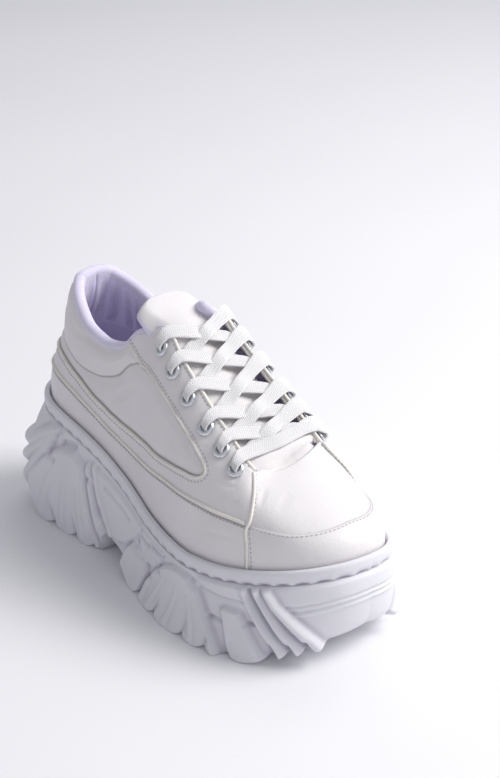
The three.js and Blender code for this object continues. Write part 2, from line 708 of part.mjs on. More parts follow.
// Section of the welt: outward and up, as shares of its width and height
const weltProfile = [[0, 0], [0, 0.86], [0.4, 1], [0.9, 0.65], [1, 0.2], [0.75, 0]];

// Welt: a rounded strip round the foot of the upper, on the sole's ledge
function weltGeometry() {
  const inner = rimStep + clearance * 1.6;
  const low = -rimDepth + clearance;
  const places = ringPlaces(weltColumns);
  return skin(weltProfile.map(([out, up]) => places.map(({ at, sign }) => {
    const foot = soleTop(outlinePoint(at, sign)[0]) + low;
    return solePoint(at, sign, inner + weltWidth * out, foot + weltHeight * up);
  })), false);
}

// Insole: a pad on the sole's top, inside the upper
function insoleGeometry() {
  const inset = wall + 1;
  const beside = insoleThickness * 2;
  const rise = [insoleThickness + clearance, clearance];
  return skin(rise.map((height) => ringPlaces(upperColumns).map(({ at, sign }) => {
    const [x, y] = upperPoint(at, sign, beside, -inset);
    return [x, y, soleTop(outlinePoint(at, sign)[0]) + height];
  })), true);
}

// Free end of the tongue, against the share of the tongue's length from the toe
// past: above the collar corner, share of tongueRise; narrow: share of its width at the corner
const tongueRows = [
  { at: 0.8, past: 0, narrow: 0.97 },
  { at: 0.87, past: 0.3, narrow: 0.84 },
  { at: 0.94, past: 0.72, narrow: 0.8 },
  { at: 0.98, past: 0.94, narrow: 0.66 },
  { at: 1.0, past: 1.0, narrow: 0.46 },
];
const tongueFrom = 0.12; // share of its length where it comes out from under the vamp
const tongueTo = 0.8; // share of its length at the collar corner
const tongueLow = 0.225; // throat place there
const tongueHigh = 0.56; // throat place at the collar corner
const tongueTuck = 8; // length under the vamp
const tongueTucks = [9, 4, 1]; // under the eyestay, from the throat edge
const tongueAcross = [-0.86, -0.45, 0, 0.45, 0.86];
const vampAcross = [-1, -0.8, -0.55, -0.36, -0.18, 0, 0.18, 0.36, 0.55, 0.8, 1]; // under the vamp
const tongueStations = [0, 0.06, 0.12, 0.2, 0.28, 0.36, 0.44, 0.52, 0.6, 0.68, 0.74, 0.8,
  0.87, 0.94, 0.98, 1];
const tonguePast = follow(tongueRows, 'past');
const tongueNarrow = follow(tongueRows, 'narrow');

// Point of the tongue between the throat's edges, across from -1 to 1, above its face
function tonguePoint(place, across, above) {
  const outer = new THREE.Vector3(...upperPoint(place, -1, Infinity, -tongueSeat));
  const inner = new THREE.Vector3(...upperPoint(place, 1, Infinity, -tongueSeat));
  const ahead = sectionCurve(place - 0.02, -1).curve.getPoint(1);
  const run = ahead.sub(sectionCurve(place + 0.01, -1).curve.getPoint(1));
  const normal = new THREE.Vector3().crossVectors(run, inner.clone().sub(outer)).normalize();
  if (normal.z < 0) normal.negate();
  const point = outer.lerp(inner, (across + 1) / 2);
  return point.addScaledVector(normal, tongueCrown * (1 - across * across) + above);
}

function tongueSection(at) {
  const thin = tongueThickness;
  const seat = tongueSeat;
  if (at < tongueFrom) {
    const tuck = mix(tongueTuck, 1, at * 2 / tongueFrom);
    const face = (depth) => vampAcross.map((w) => (
      upperPoint(throatStart * Math.abs(w), w < 0 ? -1 : 1, Infinity, -seat - depth, tuck)
    ));
    return [...face(0), ...face(thin).reverse()];
  }
  const place = mix(tongueLow, tongueHigh, Math.min(1, (at - tongueFrom) / (tongueTo - tongueFrom)));
  const past = at > tongueTo ? tonguePast(at) : 0;
  const narrow = at > tongueTo ? tongueNarrow(at) : 1;
  const face = (depth) => {
    const side = (sign) => tongueTucks.map((tuck) => (
      new THREE.Vector3(...upperPoint(place, sign, Infinity, -seat - depth, tuck))
    ));
    return [
      ...side(-1),
      ...tongueAcross.map((w) => tonguePoint(place, w, -depth)),
      ...side(1).reverse(),
    ];
  };
  const middle = tonguePoint(place, 0, 0);
  return [...face(0), ...face(thin).reverse()].map((point) => {
    point.y = middle.y + (point.y - middle.y) * narrow;
    point.x -= past * tongueBack;
    point.z += past * tongueRise;
    return point.toArray();
  });
}

function tongueGeometry() {
  return tube(tongueStations.map(tongueSection));
}

// Closed body over sections that run along a piece, with flat strips closing both ends
function tube(sections) {
  const columns = sections[0].length;
  const faces = [];
  for (let r = 0; r < sections.length - 1; r += 1) {
    for (let i = 0; i < columns; i += 1) {
      const j = (i + 1) % columns;
      const a = r * columns;
      const b = a + columns;
      faces.push(a + i, b + i, b + j, a + i, b + j, a + j);
    }
  }
  const last = (sections.length - 1) * columns;
  for (let i = 0; i < columns / 2 - 1; i += 1) {
    const j = columns - 1 - i;
    faces.push(i, i + 1, j, i + 1, j - 1, j);
    faces.push(last + i, last + j, last + i + 1, last + i + 1, last + j, last + j - 1);
  }
  const geometry = new THREE.BufferGeometry();
  geometry.setAttribute('position', new THREE.Float32BufferAttribute(sections.flat(2), 3));
  geometry.setIndex(faces);
  return outward(geometry);
}

const throatSlope = new THREE.Vector3(1, 0, -0.7);

// A flat band through a few points, its width lying along the slope of the throat
function laceBand(points) {
  const curve = new THREE.CatmullRomCurve3(points, false, 'centripetal');
  const sections = [];
  for (let i = 0; i <= laceSteps; i += 1) {
    const point = curve.getPoint(i / laceSteps);
    const run = curve.getTangent(i / laceSteps);
    const flat = throatSlope.clone().addScaledVector(run, -throatSlope.dot(run)).normalize();
    const normal = new THREE.Vector3().crossVectors(run, flat).normalize();
    const corner = (a, b) => point.clone().addScaledVector(flat, a * laceWidth / 2)
      .addScaledVector(normal, b * laceThickness / 2).toArray();
    sections.push([corner(-1, -1), corner(1, -1), corner(1, 1), corner(-1, 1)]);
  }
  return tube(sections);
}

// Points of a band from over its eyelet to above the throat edge
function laceOver(place, sign) {
  const above = guardStep + eyeletSeat + eyeletHeight + clearance * 2 + laceThickness;
  return [
    new THREE.Vector3(...upperPoint(place, sign, Infinity, above, eyeletInset)),
    new THREE.Vector3(...upperPoint(place, sign, Infinity, above, eyeletInset * 0.5)),
    new THREE.Vector3(...upperPoint(place, sign, Infinity, above, -1)),
  ];
}

// A band's way over the tongue: share of the way down to the next eyelet, and across
const diagonalRows = (lift) => [
  { down: 0.3, across: 0.45, above: laceRise },
  { down: 0.5, across: 0, above: lift },
  { down: 0.72, across: -0.45, above: laceEndLift },
  { down: 0.86, across: -0.78, above: laceEndLift * 0.6 },
];

// One band: over the throat edge at its own side, across, and under the opposite eyestay
function laceDiagonal(high, low, sign, lift) {
  const rest = clearance * 2 + laceThickness / 2;
  return laceBand([
    ...laceOver(high, sign),
    ...diagonalRows(lift).map(({ down, across, above }) => (
      tonguePoint(mix(high, low, down), sign * across, rest + above)
    )),
  ]);
}

function laceCrossing(high, low) {
  const over = toManifold(laceDiagonal(high, low, 1, laceOverLift));
  const under = toManifold(laceDiagonal(high, low, -1, laceUnderLift));
  return fromManifold(over.add(under));
}

addPart('outsole_platform', soleGeometry(), rubber);
addPart('welt', weltGeometry(), rubber);
addPart('insole', insoleGeometry(), lining);
addPart('upper', upperGeometry(), leather);
addPart('tongue', tongueGeometry(), leather);
eyeletFrames().forEach(({ name, matrix }) => addPart(name, eyeletGeometry(matrix), metal));
for (let i = 0; i < eyeletPlaces.length - 1; i += 1) {
  addPart(`lace_crossing_${i + 1}`, laceCrossing(eyeletPlaces[i], eyeletPlaces[i + 1]), lace);
}
const lowest = eyeletPlaces[eyeletPlaces.length - 1];
addPart('lace_bar', laceBand([
  ...laceOver(lowest, -1),
  tonguePoint(lowest - 0.008, 0, clearance + laceThickness * 2.6),
  ...laceOver(lowest, 1).reverse(),
]), lace);

// The footprint's middle is the origin
const box = new THREE.Box3().setFromObject(group);
const centre = box.getCenter(new THREE.Vector3());
group.position.set(-centre.x, -centre.y, -box.min.z);

export default group;
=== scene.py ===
"""Platform sneaker, right foot: the CAD frame dressed with leather, rubber, lining and laces.

Sizes are in millimetres in the shoe's own lengths, measured from the back of the sole, as in
the part's source; every piece is moved over the row's origin and scaled to metres at the end.
Places round the shoe are given as a side (-1 outer, 1 inner) and a share of that side's
length, 0 at the toe and 1 at the heel.
"""
import math

import bpy
import numpy as np
from mathutils import Matrix


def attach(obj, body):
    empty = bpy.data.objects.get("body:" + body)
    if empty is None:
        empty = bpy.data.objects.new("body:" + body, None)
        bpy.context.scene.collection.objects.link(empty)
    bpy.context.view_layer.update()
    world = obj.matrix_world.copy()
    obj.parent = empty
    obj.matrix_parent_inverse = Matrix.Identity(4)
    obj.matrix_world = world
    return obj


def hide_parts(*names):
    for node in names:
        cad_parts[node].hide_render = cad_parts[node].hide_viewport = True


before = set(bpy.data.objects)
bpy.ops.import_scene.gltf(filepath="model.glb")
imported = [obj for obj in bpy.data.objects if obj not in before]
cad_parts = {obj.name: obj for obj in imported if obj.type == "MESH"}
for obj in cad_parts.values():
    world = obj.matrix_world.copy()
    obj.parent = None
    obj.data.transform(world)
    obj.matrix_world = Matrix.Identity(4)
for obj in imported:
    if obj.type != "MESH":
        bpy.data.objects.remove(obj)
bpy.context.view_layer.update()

# The row's origin under the middle of the footprint, in the shoe's own lengths
MIDDLE_X = 135.7255
MIDDLE_Y = -0.479

# Camera, fitted to the photograph
VIEW_AZIMUTH = 52.186
VIEW_ELEVATION = 24.3
VIEW_DISTANCE = 1025.9
VIEW_ACROSS = 26.07  # aim beside the shoe's middle
VIEW_UP = 39.58
AIM = (140.0, 0.0, 70.0)
FOCAL_PIXELS = 1747.6
IMAGE_HEIGHT = 778

# Lengths and widths
FEATHER_LENGTH = 268.0  # lower edge of the upper, heel to toe
HEEL_OVERHANG = 6.0  # sole behind the upper
BALL_WIDTH = 92.0  # across the ball at the lower edge of the upper
TOE_SWING = 7.0  # toe turned to the inner side
THROAT_SWING = 5.0  # throat turned to the inner side

# Heights
PLATFORM_HEEL = 77.5
PLATFORM_BALL = 41.6
TOE_RISE = 19.4
TOE_SPRING = 17.0
ARCH_HEIGHT = 13.0
INSTEP_RISE = 103.0
COLLAR_RISE = 76.0

# Upper
WALL = 1.8
GUARD_STEP = 0.8
GUARD_HEIGHT = 28.0
EYESTAY_WIDTH = 22.0
COLLAR_PANEL = 25.0
THROAT_START = 0.2
COLLAR_START = 0.575
INNER_THROAT_RISE = 0.06
INNER_SLIM = 0.5

# Sole
RIM_STEP = 1.0
RIM_DEPTH = 6.5
RIM_REACH = 5.0
SOLE_BULGE = 14.0
LUG_NOTCH = 4.5
TREAD_INSET = 9.0

# Small pieces
CLEARANCE = 0.3
WELT_WIDTH = 3.9
WELT_HEIGHT = 8.5
INSOLE_THICKNESS = 4.0
TONGUE_THICKNESS = 4.0
TONGUE_RISE = 11.0
TONGUE_BACK = 24.0
TONGUE_SEAT = WALL + 1.2
TONGUE_CROWN = 1.5
EYELET_BORE = 2.6
EYELET_FLANGE = 5.1
EYELET_HEIGHT = 1.2
EYELET_SEAT = 0.7
EYELET_INSET = 9.5
EYELET_PLACES = (0.545, 0.497, 0.436, 0.372, 0.315, 0.262)
LACE_WIDTH = 8.2
LACE_THICKNESS = 2.1


def table(columns, *rows):
    """A table's rows as one array for each named column."""
    return {name: np.array([row[i] for row in rows], float) for i, name in enumerate(columns)}


def follow(rows, column):
    """Smooth curve through a table's rows, read by one column against the column "at"."""
    x, y = rows["at"], rows[column]
    step = np.diff(x)
    slope = np.diff(y) / step
    tangent = np.zeros_like(x)
    tangent[0], tangent[-1] = slope[0], slope[-1]
    for i in range(1, len(x) - 1):
        if slope[i - 1] * slope[i] > 0:
            before = 2 * step[i] + step[i - 1]
            after = step[i] + 2 * step[i - 1]
            tangent[i] = (before + after) / (before / slope[i - 1] + after / slope[i])

    def read(value):
        value = np.asarray(value, float)
        i = np.clip(np.searchsorted(x, value) - 1, 0, len(step) - 1)
        s = np.clip((value - x[i]) / step[i], 0, 1)
        blend = s * s * (3 - 2 * s)
        bend = tangent[i] * s * (1 - s) ** 2 - tangent[i + 1] * s * s * (1 - s)
        return y[i] * (1 - blend) + y[i + 1] * blend + step[i] * bend

    return read


def smooth(low, high, value):
    """0 at low, 1 at high, eased between them; low may be the larger."""
    t = np.clip((value - low) / (high - low), 0, 1)
    return t * t * (3 - 2 * t)


def mix(a, b, t):
    return a + (b - a) * t


def bump(centre, half, value):
    """1 at the centre, 0 from half a width away, round between them."""
    return np.clip(1 - ((value - centre) / half) ** 2, 0, 1)


def unit(vectors):
    return vectors / np.maximum(np.linalg.norm(vectors, axis=-1, keepdims=True), 1e-9)


def powered(value, power):
    """A power that keeps the sign."""
    return np.sign(value) * np.abs(value) ** power


def running_length(points):
    """Length along a line of points, from 0 at its start."""
    return np.concatenate([[0], np.cumsum(np.linalg.norm(np.diff(points, axis=0), axis=1))])


OUTLINE = table(
    ("at", "outer", "inner"),
    (0, 0.8, 0.76),
    (0.13, 0.79, 0.76),
    (0.26, 0.77, 0.72),
    (0.39, 0.75, 0.66),
    (0.53, 0.87, 0.77),
    (0.69, 1.01, 0.94),
    (0.83, 1, 0.92),
    (1, 0.98, 0.88),
)

SOLE_TOP = table(
    ("at", "heel", "toe"),
    (0, 1, 0),
    (0.11, 0.92, 0),
    (0.21, 0.79, 0),
    (0.29, 0.64, 0),
    (0.365, 0.42, 0),
    (0.435, 0.2, 0),
    (0.5, 0.07, 0),
    (0.58, 0, 0),
    (0.67, 0, 0.01),
    (0.74, 0, 0.1),
    (0.83, 0, 0.34),
    (0.925, 0, 0.68),
    (1, 0, 1),
)

SECTIONS = table(
    ("at", "edge", "half", "lean", "instep", "collar", "lift", "drop", "out", "reach", "guard", "band"),
    (0, 0.777, 0, 1, 0.3, 0, 0.47, 0.3, 0.06, 0.87, 0.78, 0.5),
    (0.05, 0.776, 0.14, 1, 0.305, 0, 0.47, 0.28, 0.06, 0.84, 0.74, 0.5),
    (0.1, 0.774, 0.28, 1, 0.33, 0, 0.46, 0.24, 0.06, 0.74, 0.77, 0.5),
    (0.15, 0.77, 0.4, 1, 0.375, 0, 0.46, 0.18, 0.05, 0.54, 0.855, 0.5),
    (0.2, 0.763, 0.49, 0.9, 0.43, 0, 0.46, 0.12, 0.04, 0.36, 0.93, 0.5),
    (0.25, 0.737, 0.5, 0.86, 0.505, 0, 0.44, 0.1, 0.03, 0.31, 1.02, 0.55),
    (0.3, 0.698, 0.49, 0.76, 0.6, 0, 0.43, 0.09, 0.03, 0.29, 1.09, 0.97),
    (0.36, 0.647, 0.48, 0.64, 0.7, 0, 0.44, 0.08, 0.02, 0.28, 1.15, 0.48),
    (0.44, 0.57, 0.455, 0.44, 0.845, 0, 0.45, 0.08, 0.02, 0.27, 1.14, 0.27),
    (0.5, 0.513, 0.43, 0.3, 0.935, 0, 0.45, 0.08, 0.01, 0.26, 1.03, 0.21),
    (0.54, 0.477, 0.4, 0.2, 0.995, 0, 0.45, 0.09, 0, 0.25, 0.92, 0.2),
    (0.575, 0.447, 0.375, 0.16, 0.975, 0, 0.44, 0.11, 0, 0.23, 0.81, 0.19),
    (0.6, 0.413, 0.405, 0.1, 0.9, 0.02, 0.42, 0.15, 0, 0.2, 0.74, 0.2),
    (0.635, 0.372, 0.5, 0.05, 0.6, 0.3, 0.42, 0.26, 0, 0.12, 0.67, 0.22),
    (0.68, 0.335, 0.59, 0, 0.22, 0.6, 0.42, 0.38, 0, 0.05, 0.61, 0.31),
    (0.74, 0.264, 0.63, 0, 0.02, 0.77, 0.38, 0.42, 0.02, 0, 0.64, 0.41),
    (0.8, 0.2, 0.61, 0, 0, 0.79, 0.38, 0.42, 0.03, -0.03, 0.7, 0.52),
    (0.86, 0.145, 0.54, 0, 0, 0.86, 0.39, 0.42, 0.03, 0, 0.74, 0.5),
    (0.91, 0.1, 0.42, 0, 0, 0.93, 0.4, 0.42, 0.04, 0.03, 0.72, 0.44),
    (0.955, 0.07, 0.25, 0, 0, 0.985, 0.42, 0.4, 0.05, 0.05, 0.7, 0.38),
    (1, 0.062, 0, 0, 0, 1, 0.42, 0.4, 0.05, 0.06, 0.69, 0.37),
)

SOLE_WALL = table(
    ("at", "middle", "foot"),
    (0, 0.42, 0.16),
    (0.12, 0.48, 0.36),
    (0.2, 0.5, 0.84),
    (0.28, 0.48, 1.06),
    (0.38, 0.46, 1.06),
    (0.48, 0.48, 0.94),
    (0.58, 0.6, 0.74),
    (0.68, 0.66, 0.6),
    (0.8, 0.8, 0.68),
    (0.9, 1.2, 0.94),
    (0.96, 1, 0.7),
    (1, 0.46, 0.2),
)

SOLE_UNDER = table(
    ("at", "spring", "arch"),
    (0, 1, 0),
    (0.06, 0.8, 0),
    (0.12, 0.42, 0),
    (0.17, 0.14, 0),
    (0.22, 0, 0),
    (0.5, 0, 0),
    (0.535, 0, 0.35),
    (0.58, 0, 0.8),
    (0.62, 0, 1),
    (0.648, 0, 0.9),
    (0.665, 0, 0),
    (1, 0, 0),
)

# Outline of the lower edge of the upper

TOE_ROUND_FROM = 0.72
TOE_ROUND_POWER = 2.3
HEEL_ROUND_FROM = 0.17
HEEL_ROUND_POWER = 2.5


def outline_side(column, sign):
    """One side of the outline as a fine line from the toe to the heel, with its running length."""
    steps = 1200
    at = (1 + np.cos(np.pi * np.arange(steps + 1) / steps)) / 2
    toe = np.maximum(0, (at - TOE_ROUND_FROM) / (1 - TOE_ROUND_FROM))
    heel = np.maximum(0, (HEEL_ROUND_FROM - at) / HEEL_ROUND_FROM)
    toe_round = np.maximum(0, 1 - toe**TOE_ROUND_POWER) ** (1 / TOE_ROUND_POWER)
    heel_round = np.maximum(0, 1 - heel**HEEL_ROUND_POWER) ** (1 / HEEL_ROUND_POWER)
    half = follow(OUTLINE, column)(at) * toe_round * heel_round * BALL_WIDTH / 2
    centre = TOE_SWING * np.maximum(0, (at - 0.5) / 0.5) ** 2
    x = HEEL_OVERHANG + at * FEATHER_LENGTH
    y = sign * half + centre
    run = running_length(np.stack([x, y], 1))
    return x, y, run / run[-1]


OUTER_SIDE = outline_side("outer", -1)
INNER_SIDE = outline_side("inner", 1)
HEEL_SHARE = follow(SOLE_TOP, "heel")
TOE_SHARE = follow(SOLE_TOP, "toe")


def sole_top(x):
    at = (x - HEEL_OVERHANG) / FEATHER_LENGTH
    return PLATFORM_BALL + (PLATFORM_HEEL - PLATFORM_BALL) * HEEL_SHARE(at) + TOE_RISE * TOE_SHARE(at)


def outline_point(at, sign):
    """Points of the outline, as two arrays, x and y."""
    at = np.clip(at, 0, 1)
    outer = [np.interp(at, OUTER_SIDE[2], OUTER_SIDE[i]) for i in (0, 1)]
    inner = [np.interp(at, INNER_SIDE[2], INNER_SIDE[i]) for i in (0, 1)]
    return [np.where(sign < 0, outer[i], inner[i]) for i in (0, 1)]


def outline_normal(at, sign):
    """Outward direction of the outline; the ends point straight along the shoe."""
    reach = 0.012
    ax, ay = outline_point(np.maximum(0, at - reach), sign)
    bx, by = outline_point(np.minimum(1, at + reach), sign)
    nx, ny = (by - ay) * sign, -(bx - ax) * sign
    size = np.maximum(np.hypot(nx, ny), 1e-9)
    ends = np.clip(np.minimum(at / reach, (1 - at) / reach), 0, 1)
    nx = mix(np.where(at < 0.5, 1.0, -1.0), nx / size, ends)
    ny = ny / size * ends
    size = np.hypot(nx, ny)
    return nx / size, ny / size


def ring(columns):
    """Places round the shoe, from the toe by the outer side to the heel and back."""
    u = np.arange(columns) / columns
    return u, *side_of(u)


def side_of(u):
    """Share of the side and its sign, for a share of the whole ring."""
    u = np.mod(u, 1)
    return np.where(u <= 0.5, u * 2, (1 - u) * 2), np.where(u <= 0.5, -1.0, 1.0)


def ring_place(at, sign):
    """Share of the whole ring, for a share of one side."""
    return np.where(np.asarray(sign) < 0, at / 2, 1 - at / 2)


SECTION = {name: follow(SECTIONS, name) for name in SECTIONS if name != "at"}


def section_controls(at, sign):
    """The four control points of each section's curve, lower edge first."""
    half_ball = BALL_WIDTH / 2
    fx, fy = outline_point(at, sign)
    fz = sole_top(fx) + CLEARANCE
    nx, ny = outline_normal(at, sign)
    lean = SECTION["lean"](at)
    half = SECTION["half"](at)
    ex = HEEL_OVERHANG + SECTION["edge"](at) * FEATHER_LENGTH
    ey = sign * half * half_ball + lean * THROAT_SWING
    tilt = np.where(sign > 0, INNER_THROAT_RISE * lean * np.minimum(1, half * 3), 0)
    rise = (SECTION["instep"](at) + tilt) * INSTEP_RISE + SECTION["collar"](at) * COLLAR_RISE
    ez = fz + rise
    slim = np.where(sign > 0, INNER_SLIM * smooth(0, 0.06, at) * smooth(0.42, 0.22, at), 0)
    out = SECTION["out"](at) * half_ball * (1 - slim)
    reach = SECTION["reach"](at) * half_ball * (1 - slim)
    return np.stack([
        np.stack([fx, fy, fz], -1),
        np.stack([fx + nx * out, fy + ny * out, fz + SECTION["lift"](at) * rise], -1),
        np.stack([ex + nx * reach, ey + ny * reach, ez - SECTION["drop"](at) * rise], -1),
        np.stack([ex, ey, ez], -1),
    ], 1)


def bezier(controls, t):
    t = t[..., None]
    a, b, c, d = (controls[:, i, None, :] for i in range(4))
    return a * (1 - t) ** 3 + 3 * b * t * (1 - t) ** 2 + 3 * c * t * t * (1 - t) + d * t**3


TOE_SMOOTHING = 260  # rounds that even out the toe's top, where the sides meet


class Skin:
    """The smooth outside of the upper, sampled finely, that the pieces are placed on."""

    def __init__(self, columns, rows):
        self.columns, self.rows = columns, rows
        self.u, self.at, self.sign = ring(columns)
        controls = section_controls(self.at, self.sign)
        t = np.linspace(0, 1, 181)
        fine = bezier(controls, np.tile(t, (columns, 1)))
        run = np.cumsum(np.linalg.norm(np.diff(fine, axis=1), axis=2), axis=1)
        run = np.concatenate([np.zeros((columns, 1)), run], 1)
        self.length = run[:, -1]
        share = np.linspace(0, 1, rows)
        even = np.array([np.interp(share * run[i, -1], run[i], t) for i in range(columns)])
        self.points = bezier(controls, even)
        share_row = share[None, :, None]
        ease = 0.5 * smooth(0.24, 0.06, self.at)[:, None, None] * smooth(0.3, 0.65, share_row)
        for _ in range(TOE_SMOOTHING):
            middle = (np.roll(self.points, 1, 0) + np.roll(self.points, -1, 0)) / 2
            self.points = self.points + (middle - self.points) * ease
        along = np.roll(self.points, -1, 0) - np.roll(self.points, 1, 0)
        self.up = unit(np.gradient(self.points, axis=1))
        self.normals = unit(np.cross(self.up, along))

    def _blend(self, grid, u, share):
        column = np.mod(u, 1) * self.columns
        i = np.floor(column).astype(int)
        a = (column - i)[..., None]
        row = np.clip(share, 0, 1) * (self.rows - 1)
        j = np.minimum(np.floor(row).astype(int), self.rows - 2)
        b = (row - j)[..., None]
        i, k = np.mod(i, self.columns), np.mod(i + 1, self.columns)
        low = grid[i, j] * (1 - a) + grid[k, j] * a
        high = grid[i, j + 1] * (1 - a) + grid[k, j + 1] * a
        return low * (1 - b) + high * b

    def length_at(self, u):
        return np.interp(np.mod(u, 1), np.append(self.u, 1), np.append(self.length, self.length[0]))

    def at_place(self, u, distance, lift=0.0):
        """Points at a distance up the surface from its lower edge, lifted off it."""
        u, distance, lift = np.broadcast_arrays(
            np.asarray(u, float), np.asarray(distance, float), np.asarray(lift, float))
        length = self.length_at(u)
        share = distance / length
        points = self._blend(self.points, u, share)
        beyond = np.maximum(distance - length, 0)[..., None]
        points = points + self._blend(self.up, u, share) * beyond
        return points + self.normal_at(u, share) * lift[..., None]

    def normal_at(self, u, share):
        return unit(self._blend(self.normals, u, share))

    def from_edge(self, u, tuck, lift=0.0):
        """Points at a distance back from the throat or collar edge."""
        return self.at_place(u, self.length_at(u) - tuck, lift)


SKIN = Skin(900, 121)


def seam_lines(u):
    """Heights up the surface of the guard's seam and of the upper piped seam."""
    at, _ = side_of(u)
    length = SKIN.length_at(u)
    guard = SECTION["guard"](at) * GUARD_HEIGHT
    collar = smooth(COLLAR_START - 0.03, COLLAR_START + 0.12, at)
    back = smooth(0.86, 1.0, at)
    toe = smooth(THROAT_START + 0.02, THROAT_START - 0.08, at)
    panel = mix(mix(EYESTAY_WIDTH, COLLAR_PANEL, collar), COLLAR_PANEL * 1.2, back)
    top = length - mix(panel, EYESTAY_WIDTH * 0.6, toe)
    return guard, mix(guard, top, SECTION["band"](at))


# Meshes

def to_row(points):
    """Millimetres in the shoe's own lengths to metres in the row's frame."""
    return (np.asarray(points, float) - (MIDDLE_X, MIDDLE_Y, 0)) / 1000


def make_object(name, points, faces, materials, face_material=None, groove_shade=None, uv=None):
    """A smooth-shaded mesh of one or more arrays of faces, with painted shade and places on its points."""
    mesh = bpy.data.meshes.new(name)
    points = to_row(points).reshape(-1, 3)
    parts = faces if isinstance(faces, list) else [faces]
    corners = np.concatenate([part.ravel() for part in parts]).astype(np.int32)
    sizes = np.concatenate([np.full(len(part), part.shape[1], np.int32) for part in parts])
    mesh.vertices.add(len(points))
    mesh.vertices.foreach_set("co", points.ravel())
    mesh.loops.add(len(corners))
    mesh.loops.foreach_set("vertex_index", corners)
    mesh.polygons.add(len(sizes))
    mesh.polygons.foreach_set("loop_start", np.cumsum(sizes, dtype=np.int32) - sizes)
    mesh.update(calc_edges=True)
    for material in materials if isinstance(materials, list) else [materials]:
        mesh.materials.append(material)
    if face_material is not None:
        mesh.polygons.foreach_set("material_index", np.asarray(face_material, np.int32))
    # Painted shade for hollows, grooves and folds, one value for each point
    if groove_shade is not None:
        layer = mesh.attributes.new("groove_shade", "FLOAT", "POINT")
        layer.data.foreach_set("value", groove_shade.astype(np.float32).ravel())
    if uv is not None:
        layer = mesh.uv_layers.new(name="UVMap")
        layer.data.foreach_set("uv", uv[corners].astype(np.float32).ravel())
    mesh.polygons.foreach_set("use_smooth", np.ones(len(sizes), bool))
    mesh.update()
    piece = bpy.data.objects.new(name, mesh)
    bpy.context.scene.collection.objects.link(piece)
    return piece


def grid_faces(columns, rows, wrap_columns=True, wrap_rows=False):
    """Quads over a grid stored column by column, facing out of the shoe's ring."""
    i = np.arange(columns if wrap_columns else columns - 1)
    j = np.arange(rows if wrap_rows else rows - 1)
    i, j = (a.ravel() for a in np.meshgrid(i, j, indexing="ij"))
    k, m = (i + 1) % columns, (j + 1) % rows
    return np.stack([i * rows + j, i * rows + m, k * rows + m, k * rows + j], 1)


def tube_along(points, across, over, profile):
    """Grid of a tube: a profile of (across, over) pairs carried along a line of points."""
    a = profile[None, :, 0, None] * across[:, None, :]
    b = profile[None, :, 1, None] * over[:, None, :]
    return points[:, None, :] + a + b


def frames(points, over):
    """Directions across a line and over it, from a rough direction over it."""
    run = unit(np.gradient(points, axis=0))
    across = unit(np.cross(run, over))
    return across, unit(np.cross(across, run))


def ellipse(width, height, count=12, power=1.0):
    """Profile of a rounded band."""
    angle = np.arange(count) * 2 * np.pi / count
    return np.stack([
        powered(np.cos(angle), power) * width / 2,
        powered(np.sin(angle), power) * height / 2,
    ], 1)


def capped_tube(name, grid, materials, face_material=None, uv=None):
    """A tube's grid as a mesh, its two ends closed to their middle points."""
    count, around = grid.shape[:2]
    points = np.concatenate([grid.reshape(-1, 3), grid[[0, -1]].mean(1)])
    i = np.arange(around)
    j = (i + 1) % around
    last = (count - 1) * around
    begin = np.stack([np.full(around, count * around), i, j], 1)
    end = np.stack([np.full(around, count * around + 1), last + j, last + i], 1)
    faces = grid_faces(count, around, wrap_columns=False, wrap_rows=True)[:, ::-1]
    if face_material is not None:
        face_material = np.concatenate([face_material, np.zeros(2 * around)])
    if uv is not None:
        uv = np.concatenate([uv.reshape(-1, 2), uv[[0, -1]].mean(1)])
    return make_object(name, points, [faces, begin, end], materials, face_material, uv=uv)


def even_line(points, step):
    """The same line with points an even step apart."""
    run = running_length(points)
    count = max(2, int(round(run[-1] / step)) + 1)
    target = np.linspace(0, run[-1], count)
    return np.stack([np.interp(target, run, points[:, i]) for i in range(3)], 1)


def spline(points, count):
    """A smooth line through a few points, by their chord lengths."""
    points = np.asarray(points, float)
    chord = np.linalg.norm(np.diff(points, axis=0), axis=1) ** 0.5
    knots = np.concatenate([[0], np.cumsum(chord)])
    slope = np.gradient(points, knots, axis=0)
    t = np.linspace(0, knots[-1], count)
    i = np.clip(np.searchsorted(knots, t) - 1, 0, len(knots) - 2)
    h = (knots[i + 1] - knots[i])[:, None]
    s = ((t - knots[i]) / h[:, 0])[:, None]
    a = points[i] * (1 + 2 * s) * (1 - s) ** 2 + points[i + 1] * s * s * (3 - 2 * s)
    return a + h * (slope[i] * s * (1 - s) ** 2 - slope[i + 1] * s * s * (1 - s))


# Materials

